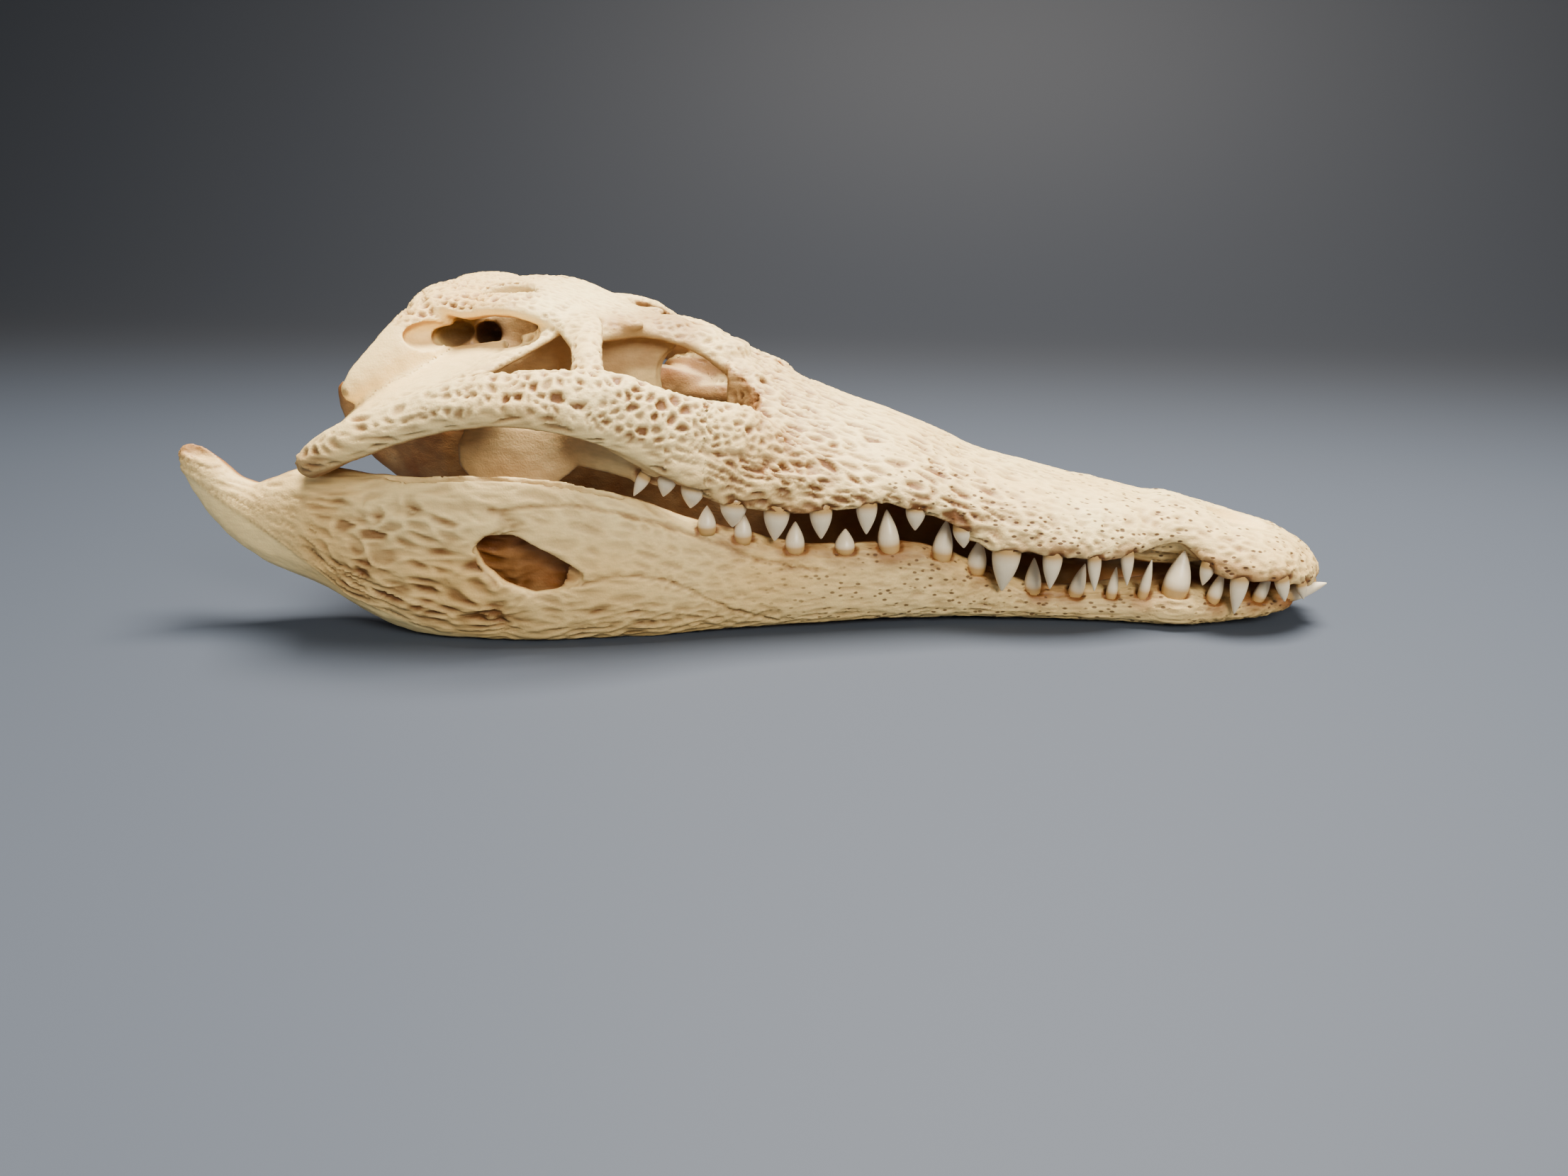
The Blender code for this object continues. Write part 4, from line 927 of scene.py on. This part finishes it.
class SkullColours(bpy.types.PropertyGroup):
    """Colours that a user may change."""

    pale: colour_choice("Pale bone", "Bone where it is cleanest", "#ffe8a8")
    warm: colour_choice("Warm bone", "Bone where it has yellowed", "#e0ad57")
    cloud: colour_choice("Clouds", "Soft clouds all over the bone", "#f4d083")
    # This amber also paints shade on inner sides, in socket grooves and in the jaw's window, besides
    # real stains.
    amber: colour_choice("Stain", "Amber stain of inner sides, sockets and rims", "#7f4204")
    # Painted shade in the floor of pits and grooves.
    pit: colour_choice("Pits", "Dust in the floor of pits and grooves", "#6a3b09")
    # Painted shade of the pore holes.
    pore: colour_choice("Pores", "Pores of the snout and the jaw", "#4a2708")
    # Painted shade of the ear opening and its pockets.
    hole: colour_choice("Deep holes", "Ear opening and other deep holes", "#341006")
    enamel: colour_choice("Enamel", "Crown of a tooth", "#f6e6c2")
    dentine: colour_choice("Dentine", "Neck of a tooth", "#c9a05c")
    # The floor colour blends into the backdrop colour with distance: painted shade for the light falling
    # off.
    floor: colour_choice("Floor", "Paper under the skull", "#404854")
    backdrop: colour_choice("Backdrop", "Paper far behind the skull", "#2e3239")
    lamp: colour_choice("Lamps", "Light of the lamps", "#fff6ea")
    sky: colour_choice("Sky", "Light from all round", "#e7effa")


def material_named(name, maker, colours):
    """The material of a name, made once."""
    return bpy.data.materials.get(name) or maker(name, colours)


class SKULL_OT_upper_bones(bpy.types.Operator):
    """Make the snout, cranium, palate and cheeks"""

    bl_idname = "skull.upper_bones"
    bl_label = "Upper bones"

    def execute(self, context):
        sizes = context.scene.skull_sizes
        copies = [bone_copy(node, GAP_FILL) for node in UPPER_BONES]
        whole = join(copies + both_sides(KNOBS), "upper_skull")
        even_skin(whole, sizes.skin, 6)
        carve(whole, HOLLOWS)
        even_skin(whole, sizes.skin, 3)
        owner = bone_of_each(read_points(whole), UPPER_BONES)
        carve_upper(whole, owner, sizes)
        material = material_named("dry_cleaned_bone", bone_material, context.scene.skull_colours)
        for piece in part_bones(whole, owner, UPPER_BONES):
            paint(piece, material)
        return {'FINISHED'}


class SKULL_OT_jaw_bones(bpy.types.Operator):
    """Make the two halves of the lower jaw"""

    bl_idname = "skull.jaw_bones"
    bl_label = "Jaw bones"

    def execute(self, context):
        sizes = context.scene.skull_sizes
        material = material_named("dry_cleaned_bone", bone_material, context.scene.skull_colours)
        for node in JAW_BONES:
            jaw = bone_copy(node, 0.0)
            carve(even_skin(jaw, sizes.jaw_skin, 6), JAW_HOLLOWS)
            even_skin(jaw, sizes.jaw_skin, 2)
            carve_jaw(jaw, sizes)
            paint(jaw, material)
            settle(jaw, node + "_bone", node)
        return {'FINISHED'}


class SKULL_OT_teeth(bpy.types.Operator):
    """Make the upper and the lower teeth"""

    bl_idname = "skull.teeth"
    bl_label = "Teeth"

    def execute(self, context):
        material = material_named("tooth_enamel", enamel_material, context.scene.skull_colours)
        tooth_row("upper_teeth", UPPER_TEETH, True).data.materials.append(material)
        tooth_row("lower_teeth", LOWER_TEETH, False).data.materials.append(material)
        return {'FINISHED'}


class SKULL_OT_stage(bpy.types.Operator):
    """Make the floor, the lights and the camera"""

    bl_idname = "skull.stage"
    bl_label = "Stage"

    def execute(self, context):
        scene = context.scene
        colours = scene.skull_colours
        sweep = paper_sweep(scene.skull_sizes.floor_width)
        sweep.data.materials.append(paper_material("matt_paper_backdrop", colours))
        for name, place, aim, power, size in LIGHTS:
            data = bpy.data.lights.new(name, 'AREA')
            data.energy = power
            data.size = size
            data.color = colours.lamp
            light = bpy.data.objects.new(name, data)
            scene.collection.objects.link(light)
            light.location = place
            light.rotation_euler = (Vector(aim) - Vector(place)).to_track_quat('-Z', 'Y').to_euler()
        world = bpy.data.worlds.new("soft_studio")
        world.use_nodes = True
        sky = world.node_tree.nodes["Background"]
        sky.inputs["Color"].default_value = (*colours.sky, 1.0)
        sky.inputs["Strength"].default_value = SKY_STRENGTH
        scene.world = world

        lens = bpy.data.cameras.new("camera")
        lens.sensor_width = CAMERA_SENSOR
        lens.lens = CAMERA_LENS
        camera = bpy.data.objects.new("camera", lens)
        x, y, z = CAMERA_PLACE
        camera.location = ((x - ORIGIN_X) * MM, y * MM, z * MM)
        camera.rotation_euler = [math.radians(turn) for turn in CAMERA_TURN]
        scene.collection.objects.link(camera)
        scene.camera = camera
        return {'FINISHED'}


class SKULL_PT_panel(bpy.types.Panel):
    """Sizes, colours and pieces of the skull"""

    bl_idname = "SKULL_PT_panel"
    bl_label = "Skull"
    bl_space_type = 'VIEW_3D'
    bl_region_type = 'UI'
    bl_category = "Skull"

    def draw(self, context):
        for group in (context.scene.skull_sizes, context.scene.skull_colours):
            for name in group.__annotations__:
                self.layout.prop(group, name)
        for operator in OPERATORS:
            self.layout.operator(operator.bl_idname)


OPERATORS = (SKULL_OT_upper_bones, SKULL_OT_jaw_bones, SKULL_OT_teeth, SKULL_OT_stage)
CLASSES = (SkullSizes, SkullColours, *OPERATORS, SKULL_PT_panel)


def register():
    """Register the classes and hang the sizes and colours on the scene."""
    for kind in CLASSES:
        bpy.utils.register_class(kind)
    bpy.types.Scene.skull_sizes = PointerProperty(type=SkullSizes)
    bpy.types.Scene.skull_colours = PointerProperty(type=SkullColours)


def unregister():
    """Undo what register does."""
    del bpy.types.Scene.skull_sizes
    del bpy.types.Scene.skull_colours
    for kind in reversed(CLASSES):
        bpy.utils.unregister_class(kind)


def main():
    """Make the skull and its stage."""
    register()
    bpy.ops.skull.upper_bones()
    bpy.ops.skull.jaw_bones()
    bpy.ops.skull.teeth()
    bpy.ops.skull.stage()


if __name__ == "__main__":
    main()
